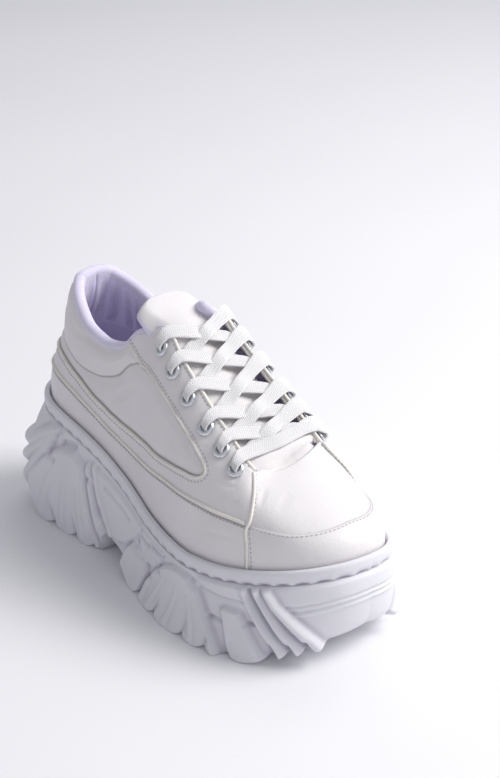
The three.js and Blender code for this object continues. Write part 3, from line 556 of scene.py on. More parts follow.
class Shader:
    """A short way to write a material's nodes."""

    def __init__(self, name, roughness, specular=0.5, metallic=0.0, sheen=0.0):
        self.material = bpy.data.materials.new(name)
        self.material.use_nodes = True
        self.tree = self.material.node_tree
        self.surface = self.tree.nodes["Principled BSDF"].inputs
        for key, value in (("Roughness", roughness), ("Specular IOR Level", specular),
                           ("Metallic", metallic), ("Sheen Weight", sheen), ("Sheen Roughness", 0.5)):
            self.feed(self.surface[key], value)
        self.place = self.node("ShaderNodeTexCoord").outputs["Object"]
        self.normal = None

    def node(self, kind, inputs=None, **settings):
        """A new node; each input is a value or a socket, by its name or number."""
        node = self.tree.nodes.new(kind)
        for key, value in settings.items():
            setattr(node, key, value)
        for key, value in (inputs or {}).items():
            self.feed(node.inputs[key], value)
        return node

    def feed(self, socket, value):
        if isinstance(value, bpy.types.NodeSocket):
            self.tree.links.new(value, socket)
        else:
            socket.default_value = value

    def noise(self, scale, detail):
        inputs = {"Vector": self.place, "Scale": scale, "Detail": detail, "Roughness": 0.5}
        return self.node("ShaderNodeTexNoise", inputs).outputs["Fac"]

    def cells(self, scale):
        return self.node("ShaderNodeTexVoronoi", {"Vector": self.place, "Scale": scale}).outputs["Distance"]

    def math(self, operation, a, b=0.5):
        return self.node("ShaderNodeMath", {0: a, 1: b}, operation=operation).outputs[0]

    def ramp(self, value, low, high, first, second):
        inputs = {"Value": value, "From Min": low, "From Max": high, "To Min": first, "To Max": second}
        return self.node("ShaderNodeMapRange", inputs).outputs["Result"]

    def blend(self, amount, first, second):
        first, second = (c if isinstance(c, bpy.types.NodeSocket) else (*c, 1) for c in (first, second))
        node = self.node("ShaderNodeMix", {"Factor": amount, 6: first, 7: second}, data_type="RGBA")
        return node.outputs[2]

    def mottled(self, scale, detail, first, second, low=0.35):
        """Two colours in soft patches."""
        return self.blend(self.ramp(self.noise(scale, detail), low, 1 - low, 0, 1), first, second)

    def shaded(self, base, shade, amount):
        """A colour, darkened towards the shade colour where the piece's points carry painted shade."""
        groove_shade = self.node("ShaderNodeAttribute", attribute_name="groove_shade").outputs["Fac"]
        return self.blend(self.math("MULTIPLY", groove_shade, amount), base, shade)

    def colour(self, value):
        self.feed(self.surface["Base Color"], value)

    def rough(self, scale, low, high):
        self.feed(self.surface["Roughness"], self.ramp(self.noise(scale, 3), 0.3, 0.7, low, high))

    def raise_by(self, height, distance, strength):
        """Bump of a height texture, its full height in metres; one may follow another."""
        inputs = {"Strength": strength, "Distance": distance, "Height": height}
        if self.normal:
            inputs["Normal"] = self.normal
        self.normal = self.node("ShaderNodeBump", inputs).outputs["Normal"]
        self.feed(self.surface["Normal"], self.normal)


def leather_material(name, colour, shade):
    s = Shader(name, 0.46, specular=0.45)
    s.colour(s.shaded(s.mottled(28, 2, colour, tuple(c * 0.965 for c in colour)), shade, 0.85))
    s.rough(160, 0.4, 0.54)
    s.raise_by(s.cells(900), 0.00012, 0.5)
    s.raise_by(s.noise(420, 4), 0.00016, 0.5)
    s.raise_by(s.noise(60, 3), 0.0009, 0.35)
    return s.material


def rubber_material(name, colour, shade):
    s = Shader(name, 0.6, specular=0.35)
    s.colour(s.shaded(s.mottled(22, 3, colour, tuple(c - 0.03 for c in colour)), shade, 0.85))
    s.rough(210, 0.54, 0.7)
    s.raise_by(s.noise(900, 4), 0.00012, 0.5)
    s.raise_by(s.noise(90, 3), 0.0005, 0.3)
    return s.material


def fabric_material(name, colour, shade, scale, depth=0.00025, sheen=0.3):
    """Cloth with a fine over-and-under weave."""
    s = Shader(name, 0.85, specular=0.2, sheen=sheen)
    cells = s.cells(scale)
    base = s.shaded(s.mottled(35, 3, colour, tuple(c * 0.93 for c in colour)), shade, 0.8)
    s.colour(s.blend(s.ramp(cells, 0.2, 0.7, 0, 0.35), base, shade))
    s.raise_by(cells, depth, 0.7)
    s.raise_by(s.noise(300, 3), 0.0003, 0.4)
    return s.material


def lace_material(name, colour, shade):
    """Flat braid: slanted ribs that meet in a row of small chevrons along the lace."""
    s = Shader(name, 0.8, specular=0.25, sheen=0.25)
    place = s.node("ShaderNodeUVMap").outputs["UV"]
    along, across, _ = s.node("ShaderNodeSeparateXYZ", {0: place}).outputs
    fold = s.math("PINGPONG", across, 0.125)
    slanted = s.math("ADD", along, s.math("MULTIPLY", fold, 8.0))
    wave = s.math("SINE", s.math("MULTIPLY", slanted, 5.0))
    rows = s.math("ABSOLUTE", s.math("SINE", s.math("MULTIPLY", across, 25.13)))
    pattern = s.math("MULTIPLY", s.ramp(wave, -1, 0.6, 0, 1), s.ramp(rows, 0, 0.7, 0.3, 1))
    s.colour(s.blend(pattern, shade, colour))
    s.raise_by(pattern, 0.00035, 0.9)
    s.raise_by(s.noise(1500, 2), 0.0001, 0.5)
    return s.material


def metal_material(name, colour, shade):
    s = Shader(name, 0.3, metallic=0.85)
    s.colour(s.mottled(300, 2, colour, shade, 0.3))
    s.rough(500, 0.24, 0.4)
    s.raise_by(s.noise(700, 2), 0.00008, 0.4)
    return s.material


LEATHER = leather_material("leather_white", (0.80, 0.775, 0.785), (0.30, 0.27, 0.29))
RUBBER = rubber_material("rubber_matte", (0.775, 0.77, 0.815), (0.36, 0.345, 0.42))
PIPING = fabric_material("piping_cream", (0.92, 0.89, 0.83), (0.70, 0.66, 0.60), 1600, 0.00015, 0.1)
THREAD = fabric_material("thread", (0.56, 0.54, 0.58), (0.38, 0.36, 0.40), 2400, 0.0001, 0.1)
LINING = fabric_material("lining_lilac", (0.83, 0.78, 0.96), (0.52, 0.47, 0.70), 1300)
COLLAR = fabric_material("collar_lilac", (0.81, 0.77, 0.93), (0.52, 0.48, 0.68), 1300, 0.00015)
INSOLE = fabric_material("insole_lilac", (0.50, 0.45, 0.64), (0.32, 0.28, 0.44), 1100)
LACE = lace_material("lace_braid", (1.0, 0.99, 0.99), (0.78, 0.77, 0.79))
METAL = metal_material("eyelet_metal", (0.74, 0.77, 0.80), (0.66, 0.69, 0.73))


def dress(piece, slot, *nodes):
    """A finished piece rides on the shoe's one body and takes over its CAD nodes."""
    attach(piece, "root")
    if nodes:
        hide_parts(*nodes)
    return piece


# Camera, light and floor

FLOOR_HALF = 4000.0
SHOE_MIDDLE = (0.02, 0.0, 0.06)
SKY, SKY_STRENGTH = (0.93, 0.935, 1.0, 1), 0.42
COOL = (0.98, 0.985, 1.0)
# Name, place and aim in metres, size, watts and colour
LIGHTS = (
    ("key", (0.95, 1.05, 1.45), SHOE_MIDDLE, 1.1, 37, (1.0, 0.99, 0.975)),
    ("fill", (1.5, -0.9, 0.9), SHOE_MIDDLE, 1.4, 2, COOL),
    ("back", (-0.75, 1.05, 1.5), (-0.75, 1.0, 0.0), 1.3, 6, COOL),
)


def aim_piece(piece, place, right, up, back):
    """Adds a camera or light at a place in metres, turned to look against back."""
    rows = [(right[i], up[i], back[i], place[i]) for i in range(3)]
    piece.matrix_world = Matrix(rows + [(0, 0, 0, 1)])
    bpy.context.scene.collection.objects.link(piece)


def add_camera():
    a, e = math.radians(VIEW_AZIMUTH), math.radians(VIEW_ELEVATION)
    back = np.array([math.sin(a) * math.cos(e), -math.cos(a) * math.cos(e), math.sin(e)])
    right = np.array([math.cos(a), math.sin(a), 0.0])
    up = np.cross(back, right)
    eye = np.array(AIM) + VIEW_ACROSS * right + VIEW_UP * up + VIEW_DISTANCE * back
    camera = bpy.data.objects.new("camera", bpy.data.cameras.new("camera"))
    camera.data.sensor_width = 36.0
    camera.data.lens = FOCAL_PIXELS / IMAGE_HEIGHT * camera.data.sensor_width
    camera.data.clip_start = 0.05
    aim_piece(camera, to_row(eye), right, up, back)
    bpy.context.scene.camera = camera


def add_area(name, place, aim, size, power, colour):
    """A soft square light at a place in metres, facing a point."""
    light = bpy.data.lights.new(name, "AREA")
    light.size = size
    light.energy = power
    light.color = colour
    back = unit(np.array(place) - np.array(aim))
    right = unit(np.cross((0, 0, 1), back))
    aim_piece(bpy.data.objects.new(name, light), place, right, np.cross(back, right), back)


def add_stage():
    s = Shader("floor_pale", 0.55, specular=0.3)
    s.colour(s.mottled(3, 2, (0.86, 0.86, 0.885), (0.845, 0.845, 0.872), 0.3))
    corners = [(MIDDLE_X + a * FLOOR_HALF, MIDDLE_Y + b * FLOOR_HALF, 0)
               for a, b in ((-1, -1), (1, -1), (1, 1), (-1, 1))]
    make_object("floor", corners, np.array([(0, 1, 2, 3)]), s.material)
    world = bpy.data.worlds.new("studio")
    world.use_nodes = True
    sky = world.node_tree.nodes["Background"]
    sky.inputs["Color"].default_value = SKY
    sky.inputs["Strength"].default_value = SKY_STRENGTH
    bpy.context.scene.world = world
    bpy.context.scene.view_settings.view_transform = "Standard"
    for light in LIGHTS:
        add_area(*light)


add_camera()
add_stage()


# Laces and tongue run between the throat's two edges

THROAT_SLOPE = np.array([1.0, 0.0, -0.7])


def tongue_point(place, across, above):
    """Points of the tongue between the throat's edges, across from -1 to 1."""
    place, across, above = np.broadcast_arrays(
        np.asarray(place, float), np.asarray(across, float), np.asarray(above, float))
    outer = SKIN.from_edge(place / 2, 0, -TONGUE_SEAT)
    inner = SKIN.from_edge(1 - place / 2, 0, -TONGUE_SEAT)
    run = SKIN.from_edge((place - 0.02) / 2, 0) - SKIN.from_edge((place + 0.01) / 2, 0)
    normal = unit(np.cross(run, inner - outer))
    normal = normal * np.where(normal[..., 2:] < 0, -1, 1)
    point = outer + (inner - outer) * ((across + 1) / 2)[..., None]
    return point + normal * (TONGUE_CROWN * (1 - across**2) + above)[..., None]


TONGUE_FROM = 0.12  # share of its length where it comes out from under the vamp
TONGUE_TO = 0.8  # share of its length at the collar corner
TONGUE_LOW, TONGUE_HIGH = 0.225, 0.56  # throat places there
TONGUE_TUCK = 8.0  # length under the vamp
TONGUE_UNDER = (9.0, 19.0)  # part under each eyestay, and wings of the free end
TONGUE_DIP = 4.5  # how far it lies below the inner eyestay's edge
TONGUE_ASIDE = 4.0  # free end leans to the outer side
TONGUE_BASE = 3.0  # it comes up level with the vamp at the throat's lower end
TONGUE_PAD = 2.0  # extra thickness of the free end
TONGUE_EDGE = (0.55, 0.5)  # powers that flatten the rounding of its section, across and over
TONGUE_LINED = 0.66  # the lining is turned up to here on the section, from -1 to 1
# Free end: share of its way up and back, and of its width
TONGUE_TAB = table(
    ("at", "past", "wide"),
    (0.8, 0, 1.0),
    (0.87, 0.3, 0.9),
    (0.93, 0.65, 1.0),
    (0.97, 0.88, 0.95),
    (0.99, 1.0, 0.76),
    (1.0, 1.06, 0.55),
)
TONGUE_PAST = follow(TONGUE_TAB, "past")
TONGUE_WIDE = follow(TONGUE_TAB, "wide")


def tongue_row(at, depth, across):
    """One row of the tongue's face, depth below its top; across runs from -1 to 1."""
    if at < TONGUE_FROM:
        tuck = mix(TONGUE_TUCK, 1, at * 2 / TONGUE_FROM)
        u = ring_place(THROAT_START * np.abs(across), np.where(across > 0, 1, -1))
        return SKIN.from_edge(u, tuck, -TONGUE_SEAT - depth)
    place = mix(TONGUE_LOW, TONGUE_HIGH, min(1, (at - TONGUE_FROM) / (TONGUE_TO - TONGUE_FROM)))
    wing = smooth(0.62, 0.86, at)
    under = mix(*TONGUE_UNDER, wing)
    middle_half = mix(0.7, 0.55, wing)  # share of the row between the throat's edges
    dip = smooth(0.16, 0.24, at) * smooth(0.86, 0.72, at)
    depth = depth + TONGUE_DIP * dip * smooth(-0.3, 0.6, across)
    depth = depth - TONGUE_BASE * smooth(0.26, 0.14, at) * np.clip(1 - across**4, 0, 1)
    inside = np.clip(across / middle_half, -1, 1)
    tuck = np.maximum(np.abs(across) - middle_half, 0) / (1 - middle_half) * under
    side = SKIN.from_edge(ring_place(place, across), tuck, -TONGUE_SEAT - depth)
    centre = tongue_point(place, inside, -depth)
    row = np.where((np.abs(across) > middle_half)[:, None], side, centre)
    if at > TONGUE_TO:
        middle = tongue_point(place, 0.0, 0.0)
        flat = mix(1, 0.45, smooth(0.87, 0.95, at))
        row[:, 1:] = middle[1:] + (row[:, 1:] - middle[1:]) * TONGUE_WIDE(at) * np.array([1, flat])
        row[:, 1] -= smooth(0.86, 0.97, at) * TONGUE_ASIDE
        row[:, 0] -= TONGUE_PAST(at) * TONGUE_BACK
        row[:, 2] += TONGUE_PAST(at) * TONGUE_RISE
    return row


def tongue_grid(stations, columns):
    """Closed sections of the tongue, with rounded edges: its face, then its back."""
    angle = np.linspace(0, 2 * np.pi, columns, endpoint=False)
    across = powered(np.cos(angle), TONGUE_EDGE[0])
    face = powered(np.sin(angle), TONGUE_EDGE[1])
    rows = []
    for at in stations:
        thick = TONGUE_THICKNESS + TONGUE_PAD * smooth(0.75, 0.9, at)
        top = tongue_row(at, 0.0, across)
        low = tongue_row(at, thick, across)
        rows.append(top + (low - top) * ((1 - face) / 2)[:, None])
    return np.array(rows)


def add_tongue():
    """Padded tongue, its lining turned over the edges and the end."""
    columns = 96
    free = TONGUE_TO + (1 - TONGUE_TO) * np.sin(np.linspace(0, np.pi / 2, 26)[1:])
    stations = np.concatenate([np.linspace(0, TONGUE_TO, 50), free])
    grid = tongue_grid(stations, columns)
    around = np.sin((np.arange(columns) + 0.5) * 2 * np.pi / columns)
    lined = np.tile(around < TONGUE_LINED, len(stations) - 1)
    lined[-3 * columns:] = True  # round the end
    piece = capped_tube("tongue_padded", grid, [LEATHER, COLLAR], lined)
    return dress(piece, "leather", "tongue")


add_tongue()


def lace_over(place, sign):
    """Points of a band that loops out of its eyelet and over the throat edge."""
    u = ring_place(place, sign)
    seat = GUARD_STEP + EYELET_SEAT + EYELET_HEIGHT
    rest = LACE_THICKNESS / 2
    loop = [
        (EYELET_INSET + 1.1, -3.0),
        (EYELET_INSET + 1.0, 0.8),
        (EYELET_INSET + 0.4, seat + 0.4),
        (EYELET_INSET - 1.6, seat + rest + 0.9),
        (EYELET_INSET - 5.0, seat + rest + 0.9),
        (0.8, GUARD_STEP + rest + 1.5),
    ]
    return [SKIN.from_edge(u, tuck, lift) for tuck, lift in loop]


def lace_band(name, points, width, node):
    """A flat braided band; width is one number for each control point."""
    count = 120
    line = spline(points, count)
    run_share = np.linspace(0, 1, count)
    widths = np.interp(run_share, np.linspace(0, 1, len(width)), width)
    run = unit(np.gradient(line, axis=0))
    flat = unit(THROAT_SLOPE - run * (run @ THROAT_SLOPE)[:, None])
    over = unit(np.cross(flat, run))
    over = over * (1 if over[count // 2, 2] > 0 else -1)
    profile = ellipse(1.0, LACE_THICKNESS, 24, LACE_EDGE)
    hollow = LACE_THICKNESS * LACE_HOLLOW * np.cos(np.pi * profile[:, 0]) * np.sign(profile[:, 1])
    high = profile[:, 1] - hollow * (np.abs(profile[:, 0]) < 0.42)
    grid = (line[:, None, :] + profile[None, :, 0, None] * widths[:, None, None] * flat[:, None, :]
            + high[None, :, None] * over[:, None, :])
    uv = np.stack(np.broadcast_arrays(running_length(line)[:, None], profile[None, :, 0] + 0.5), -1)
    return dress(capped_tube(name, grid, LACE, uv=uv), "lace", node)


LACE_END = 7.4  # width where it ends under the opposite eyestay
LACE_EDGE = 0.62  # power that flattens the rounding of its section
LACE_HOLLOW = 0.16  # share of its thickness that it is hollow along its middle
# Widths of the band from its eyelet to the throat edge, on the outer and the inner side
LACE_LOOPS = ((3.8, 4.0, 4.8, 6.6, 8.2), (4.4, 6.4, 9.0, 10.4, 10.4))


def lace_diagonal(i, sign, lift):
    """A band over the edge at its own side and down under the opposite eyestay."""
    high, low = EYELET_PLACES[i], EYELET_PLACES[i + 1]
    rest = CLEARANCE * 2 + LACE_THICKNESS / 2
    # Share of the way down, place across from this side to the other, height over the tongue
    path = ((0.3, 0.45, 1.6), (0.5, 0, lift), (0.72, -0.45, 0.6), (0.92, -0.85, 0.2))
    points = lace_over(high, sign)
    points += [tongue_point(mix(high, low, way), sign * across, rest + rise) for way, across, rise in path]
    points.append(SKIN.from_edge(ring_place(low, -sign), 3.5, -WALL - 0.9))
    loop, side = (LACE_LOOPS[0], "outer") if sign < 0 else (LACE_LOOPS[1], "inner")
    width = [*loop, *[LACE_WIDTH] * 5, LACE_END]
    return lace_band(f"lace_{side}_{i + 1}", points, width, f"lace_crossing_{i + 1}")


def add_laces():
    """Five crossing pairs and the straight band at the toe end."""
    for i in range(len(EYELET_PLACES) - 1):
        lace_diagonal(i, 1, LACE_THICKNESS + 0.7)
        lace_diagonal(i, -1, 0.3)
    low = EYELET_PLACES[-1]
    middle = [tongue_point(low - back, across, CLEARANCE + LACE_THICKNESS * above)
              for back, across, above in ((0.004, -0.5, 2.0), (0.008, 0.0, 2.2), (0.004, 0.5, 2.0))]
    points = lace_over(low, -1) + middle + lace_over(low, 1)[::-1]
    outer, inner = LACE_LOOPS
    width = [*outer, *[LACE_WIDTH] * 5, *inner[::-1]]
    lace_band("lace_straight", points, width, "lace_bar")


add_laces()


def add_eyelets():
    """Rolled metal rings, each in its own place on the eyestay."""
    seat = GUARD_STEP + EYELET_SEAT
    radii = [(EYELET_BORE, -WALL - 1.0), (EYELET_BORE - 0.1, 0.2), (EYELET_BORE, seat + 0.7),
             (EYELET_BORE + 0.5, seat + 1.1), (EYELET_BORE + 1.2, seat + EYELET_HEIGHT),
             (EYELET_FLANGE - 0.9, seat + 0.95), (EYELET_FLANGE - 0.2, seat + 0.45),
             (EYELET_FLANGE, seat - 0.1), (EYELET_FLANGE - 0.3, seat - 0.5),
             (EYELET_BORE + 0.8, seat - 0.5), (EYELET_BORE + 0.8, -WALL - 1.0)]
    around = 40
    angle = np.arange(around) * 2 * np.pi / around
    for sign, side in ((-1, "outer"), (1, "inner")):
        for i, at in enumerate(EYELET_PLACES):
            u = ring_place(at, sign)
            share = 1 - EYELET_INSET / SKIN.length_at(u)
            normal = SKIN.normal_at(u, share)
            centre = SKIN.from_edge(u, EYELET_INSET)
            across = unit(np.cross(normal, THROAT_SLOPE))
            along = np.cross(normal, across)
            circle = np.cos(angle)[:, None] * across + np.sin(angle)[:, None] * along
            grid = np.array([centre + normal * lift + radius * circle for radius, lift in radii])
            faces = grid_faces(len(radii), around, wrap_columns=True, wrap_rows=True)
            name = f"eyelet_{side}_{i + 1}"
            dress(make_object(f"{name}_ring", grid, faces, METAL), "metal", name)


add_eyelets()


# Sole: places are a share of the length from the heel and a share of the wall's height

MIDDLE_SHARE = follow(SOLE_WALL, "middle")
FOOT_SHARE = follow(SOLE_WALL, "foot")
SPRING_SHARE = follow(SOLE_UNDER, "spring")
ARCH_SHARE = follow(SOLE_UNDER, "arch")
SIDE_LENGTH = 320.0  # round one side of the sole
WALL_HIGH = 48.0  # usual height of the wall

# Raised plates: how far they stand out, how soft their edge is, and their corners
PLATES = (
    (4.2, 2.6, ((0.12, -0.05), (0.135, 0.4), (0.175, 0.68), (0.215, 0.84), (0.255, 0.9), (0.285, 0.84),
                (0.305, 0.6), (0.32, 0.3), (0.33, -0.05))),
    (4.2, 2.6, ((0.525, -0.05), (0.535, 0.3), (0.555, 0.55), (0.585, 0.76), (0.615, 0.88), (0.637, 0.92),
                (0.662, 0.88), (0.685, 0.72), (0.71, 0.45), (0.735, 0.2), (0.765, -0.05))),
    (3.6, 1.6, ((0.775, -0.05), (0.762, 0.3), (0.747, 0.6), (0.755, 0.65), (0.783, 0.63), (0.8, 0.45),
                (0.838, -0.05))),
    (4.4, 1.4, ((0.435, -0.05), (0.448, 0.3), (0.462, 0.5), (0.515, 0.53), (0.527, 0.38), (0.518, -0.05))),
    (1.6, 1.6, ((0.315, 0.93), (0.485, 0.93), (0.462, 0.62), (0.435, 0.3), (0.4, 0.1), (0.37, 0.14),
                (0.352, 0.5), (0.33, 0.78))),
    (1.6, 1.2, ((0.49, 0.93), (0.575, 0.93), (0.56, 0.66), (0.54, 0.52), (0.48, 0.52))),
    (2, 1.2, ((0.675, 1.05), (0.8, 1.05), (0.79, 0.79), (0.74, 0.79), (0.7, 0.85))),
    (1.4, 1.2, ((0.85, 0.745), (1.1, 0.745), (1.1, 1.05), (0.83, 1.05))),
)

# Ribs: height, half width in millimetres, and the line along their crest
RIBS = (
    (4.6, 4, ((0.192, 0.99), (0.13, 0.72), (0.03, 0.55))),
    (4.4, 3.8, ((0.185, 0.9), (0.12, 0.55), (0.045, 0.3))),
    (4.4, 3.8, ((0.18, 0.82), (0.13, 0.42), (0.075, 0.06))),
    (3.8, 3.2, ((0.3, 0.88), (0.322, 0.55), (0.345, 0.22), (0.353, 0.02))),
    (3, 2.6, ((0.315, 0.93), (0.342, 0.62), (0.366, 0.3), (0.378, 0.1))),
    (5, 3.3, ((0.787, 1), (0.803, 0.77), (0.823, 0.53), (0.846, 0.26), (0.862, 0))),
    (5.2, 3.4, ((0.81, 1), (0.828, 0.78), (0.846, 0.56), (0.868, 0.28), (0.888, 0))),
    (5.6, 3.9, ((0.829, 1), (0.849, 0.76), (0.866, 0.6), (0.89, 0.35), (0.914, 0.04))),
    (1.6, 1.5, ((0.865, 0.7), (0.93, 0.69), (1.1, 0.69))),
    (1.3, 1.6, ((0.875, 0.6), (0.93, 0.6), (1.1, 0.6))),
)

# Slim ridges that stand on the plates, one to each lug
LUG_RIDGES = (
    (1.6, 1.8, ((0.205, 0.62), (0.165, 0.08))),
    (1.6, 1.8, ((0.245, 0.66), (0.228, 0.08))),
    (1.6, 1.8, ((0.283, 0.6), (0.295, 0.08))),
    (1.6, 1.9, ((0.548, 0.42), (0.548, 0.06))),
    (1.6, 1.9, ((0.595, 0.62), (0.575, 0.06))),
    (1.7, 1.9, ((0.64, 0.66), (0.636, 0.06))),
    (1.7, 1.9, ((0.672, 0.6), (0.703, 0.06))),
    (2, 2.2, ((0.678, 0.83), (0.705, 0.51), (0.752, 0.04))),
)

# Slots and grooves: depth, half width, line
SLOTS = (
    (2.6, 1.7, ((0.47, 0.61), (0.488, 0.59))),
    (2.8, 1.7, ((0.488, 0.8), (0.517, 0.79))),
    (2.8, 2.2, ((0.527, 0.85), (0.566, 0.84))),
    (2.8, 1.7, ((0.556, 0.65), (0.577, 0.63))),
    (2.6, 1.4, ((0.538, 0.43), (0.554, 0.42))),
    (2.6, 1.3, ((0.72, 0.42), (0.748, 0.41))),
    (2.4, 1.3, ((0.797, 0.48), (0.812, 0.47))),
    (1.6, 1.5, ((0.352, 0.79), (0.44, 0.78))),
    (2.8, 1.9, ((0.21, 0.88), (0.25, 0.93))),
    (2.4, 1.6, ((0.185, 0.72), (0.205, 0.71))),
    (2, 1.4, ((0.3, 0.78), (0.31, 0.76))),
    (1.5, 1, ((0.69, 0.8), (0.74, 0.77), (0.79, 0.765))),
    (1, 0.8, ((0.29, 0.965), (0.48, 0.955))),
)
LUG_GAPS = np.array((0.085, 0.13, 0.193, 0.262, 0.32, 0.36, 0.524, 0.6, 0.68, 0.733, 0.776, 0.843,
                     0.87, 0.897))
EDGE_SOFTENING = 2  # rounds that round off the relief's edges
SHADE_REACH = 30  # rounds of smoothing; what lies deeper than the smooth form is shaded
SHADE_DEPTH = 1.7  # hollows this deep are fully shaded
LUG_HALF = 0.028  # half width of a lug, share of the side
LUG_DEPTH = 3.4  # how far the gaps between lugs cut into the wall
LUG_TOP = 0.3  # wall height where the gaps in the lower edge end
TOE_STEP_FROM = 0.925  # past the lugs the toe's edge stands up, as a share of the gaps
TOE_STEP = 0.85


def underside(at):
    """Height of the underside: toe spring and arch."""
    return TOE_SPRING * SPRING_SHARE(at) + ARCH_HEIGHT * ARCH_SHARE(at)


def wall_place(points):
    """Places on the wall in millimetres."""
    return np.array([(a * SIDE_LENGTH, h * WALL_HIGH) for a, h in points])


def line_distance(x, y, line):
    """Distance to a line of points, and how far along it the nearest place is, from 0 to 1."""
    nearest = np.full(x.shape, 1e9)
    share = np.zeros(x.shape)
    run = running_length(line)
    for i in range(len(line) - 1):
        (ax, ay), (bx, by) = line[i], line[i + 1]
        dx, dy = bx - ax, by - ay
        t = np.clip(((x - ax) * dx + (y - ay) * dy) / (dx * dx + dy * dy), 0, 1)
        away = np.hypot(x - ax - t * dx, y - ay - t * dy)
        closer = away < nearest
        nearest = np.where(closer, away, nearest)
        share = np.where(closer, (run[i] + t * (run[i + 1] - run[i])) / run[-1], share)
    return nearest, share


def inside_distance(x, y, corners):
    """Distance to the edge of a closed outline, more than 0 inside it."""
    edge, _ = line_distance(x, y, np.concatenate([corners, corners[:1]]))
    inside = np.zeros(x.shape, bool)
    for (ax, ay), (bx, by) in zip(corners, np.roll(corners, -1, 0)):
        if ay != by:
            crossing = (ay > y) != (by > y)
            inside ^= crossing & (x < ax + (y - ay) * (bx - ax) / (by - ay))
    return np.where(inside, edge, -edge)


def sole_relief(along, height):
    """How far the wall's plates, ribs and slots stand out, by places from the heel."""
    x, y = along * SIDE_LENGTH, height * WALL_HIGH
    value = np.zeros_like(x)
    for rise, soft, corners in PLATES:
        away = inside_distance(x, y, wall_place(corners))
        value = np.maximum(value, rise * np.sin(np.pi / 2 * np.clip(away / soft + 0.4, 0, 1)))
    for rise, half, line in RIBS:
        away, share = line_distance(x, y, wall_place(line))
        size = half * (0.75 + 0.35 * share)
        value = np.maximum(value, rise * np.cos(np.pi / 2 * np.clip(away / size, 0, 1)) ** 0.8)
    for rise, half, line in LUG_RIDGES:
        away, share = line_distance(x, y, wall_place(line))
        size = half * (0.5 + 0.7 * share)
        value = value + rise * (0.4 + 0.6 * share) * bump(0, size, away)
    for depth, half, line in SLOTS:
        away, _ = line_distance(x, y, wall_place(line))
        value = value - depth * smooth(half, half * 0.45, away)
    gap = lug_gap(along) * smooth(0.34, 0.05, height)
    return value - LUG_DEPTH * gap


def sole_offset(at, height):
    """How far the wall stands out from the outline, by places from the toe and up the wall."""
    foot = FOOT_SHARE(at) * SOLE_BULGE
    middle = MIDDLE_SHARE(at) * SOLE_BULGE
    curved = (foot * (1 - height) * (1 - 2 * height) + middle * 4 * height * (1 - height)
              + RIM_REACH * height * (2 * height - 1))
    free = smooth(1, 0.955, height)
    return curved + sole_relief(1 - at, height) * free


def lug_gap(along):
    """1 in the gap between two lugs, falling round to 0 at the middle of a lug."""
    nearest = np.abs(along[..., None] - LUG_GAPS).min(-1)
    near = np.clip(1 - nearest / LUG_HALF, 0, 1)
    return 1 - np.sqrt(1 - near**2)


def edge_rise(along):
    """The wall's lower edge over the floor's side of the lugs: gaps between them, the toe's step."""
    toe = smooth(TOE_STEP_FROM - 0.006, TOE_STEP_FROM + 0.008, along)
    return LUG_NOTCH * np.maximum(lug_gap(along), TOE_STEP * toe)


def outline_offset(at, sign, offset, z):
    """Points beside the outline, at a height."""
    x, y = outline_point(at, sign)
    nx, ny = outline_normal(at, sign)
    return np.stack(np.broadcast_arrays(x + nx * offset, y + ny * offset, z), -1)


def add_sole():
    """The whole platform: its wall with all the relief, flat treads and the ledge for the welt."""
    columns = 1060
    heights = np.linspace(0, 1, 86)[::-1]
    _, at, sign = ring(columns)
    top = sole_top(outline_point(at, sign)[0])
    offset = sole_offset(*np.broadcast_arrays(at[:, None], heights[None, :]))
    for _ in range(EDGE_SOFTENING):
        offset = (np.roll(offset, 1, 0) + np.roll(offset, -1, 0) + 2 * offset) / 4
        offset[:, 1:-1] = (offset[:, 2:] + offset[:, :-2] + 2 * offset[:, 1:-1]) / 4
    rings = [outline_offset(at, sign, RIM_STEP, top),
             outline_offset(at, sign, RIM_STEP, top - RIM_DEPTH)]
    for k, height in enumerate(heights):
        rise = edge_rise(1 - at) * max(0, 1 - height / LUG_TOP) ** 1.5
        z = mix(underside(at), top - RIM_DEPTH, height) + rise
        rings.append(outline_offset(at, sign, offset[:, k], z))
    tread = FOOT_SHARE(at) * SOLE_BULGE - TREAD_INSET
    rings.append(outline_offset(at, sign, tread, underside(at)))
    grid = np.stack(rings, 1)
    rows = grid.shape[1]
    i = np.arange(1, columns // 2 - 1)
    across = np.stack([i, i + 1, columns - i - 1, columns - i], 1) * rows
    faces = np.concatenate([grid_faces(columns, rows)[:, ::-1], across[:, ::-1], across + rows - 1])
    # Painted shade in the hollows of the relief: points deeper than a smoothed copy of the wall
    smoothed = grid.copy()
    for _ in range(SHADE_REACH):
        smoothed = (np.roll(smoothed, 1, 0) + np.roll(smoothed, -1, 0) + smoothed * 2) / 4
    normal = np.stack(outline_normal(at, sign), 1)
    hollow = ((smoothed - grid)[..., :2] * normal[:, None, :]).sum(-1)
    groove_shade = np.clip(hollow / SHADE_DEPTH, 0, 1)
    piece = make_object("sole_sculpted", grid, faces, RUBBER, groove_shade=groove_shade)
    return dress(piece, "rubber", "outsole_platform")


add_sole()


WELT_STITCH = 10.0  # pitch of the stitches
WELT_DENT = 1.3  # depth of their dents
WELT_EDGE = 0.6  # power that flattens the rounding of its section


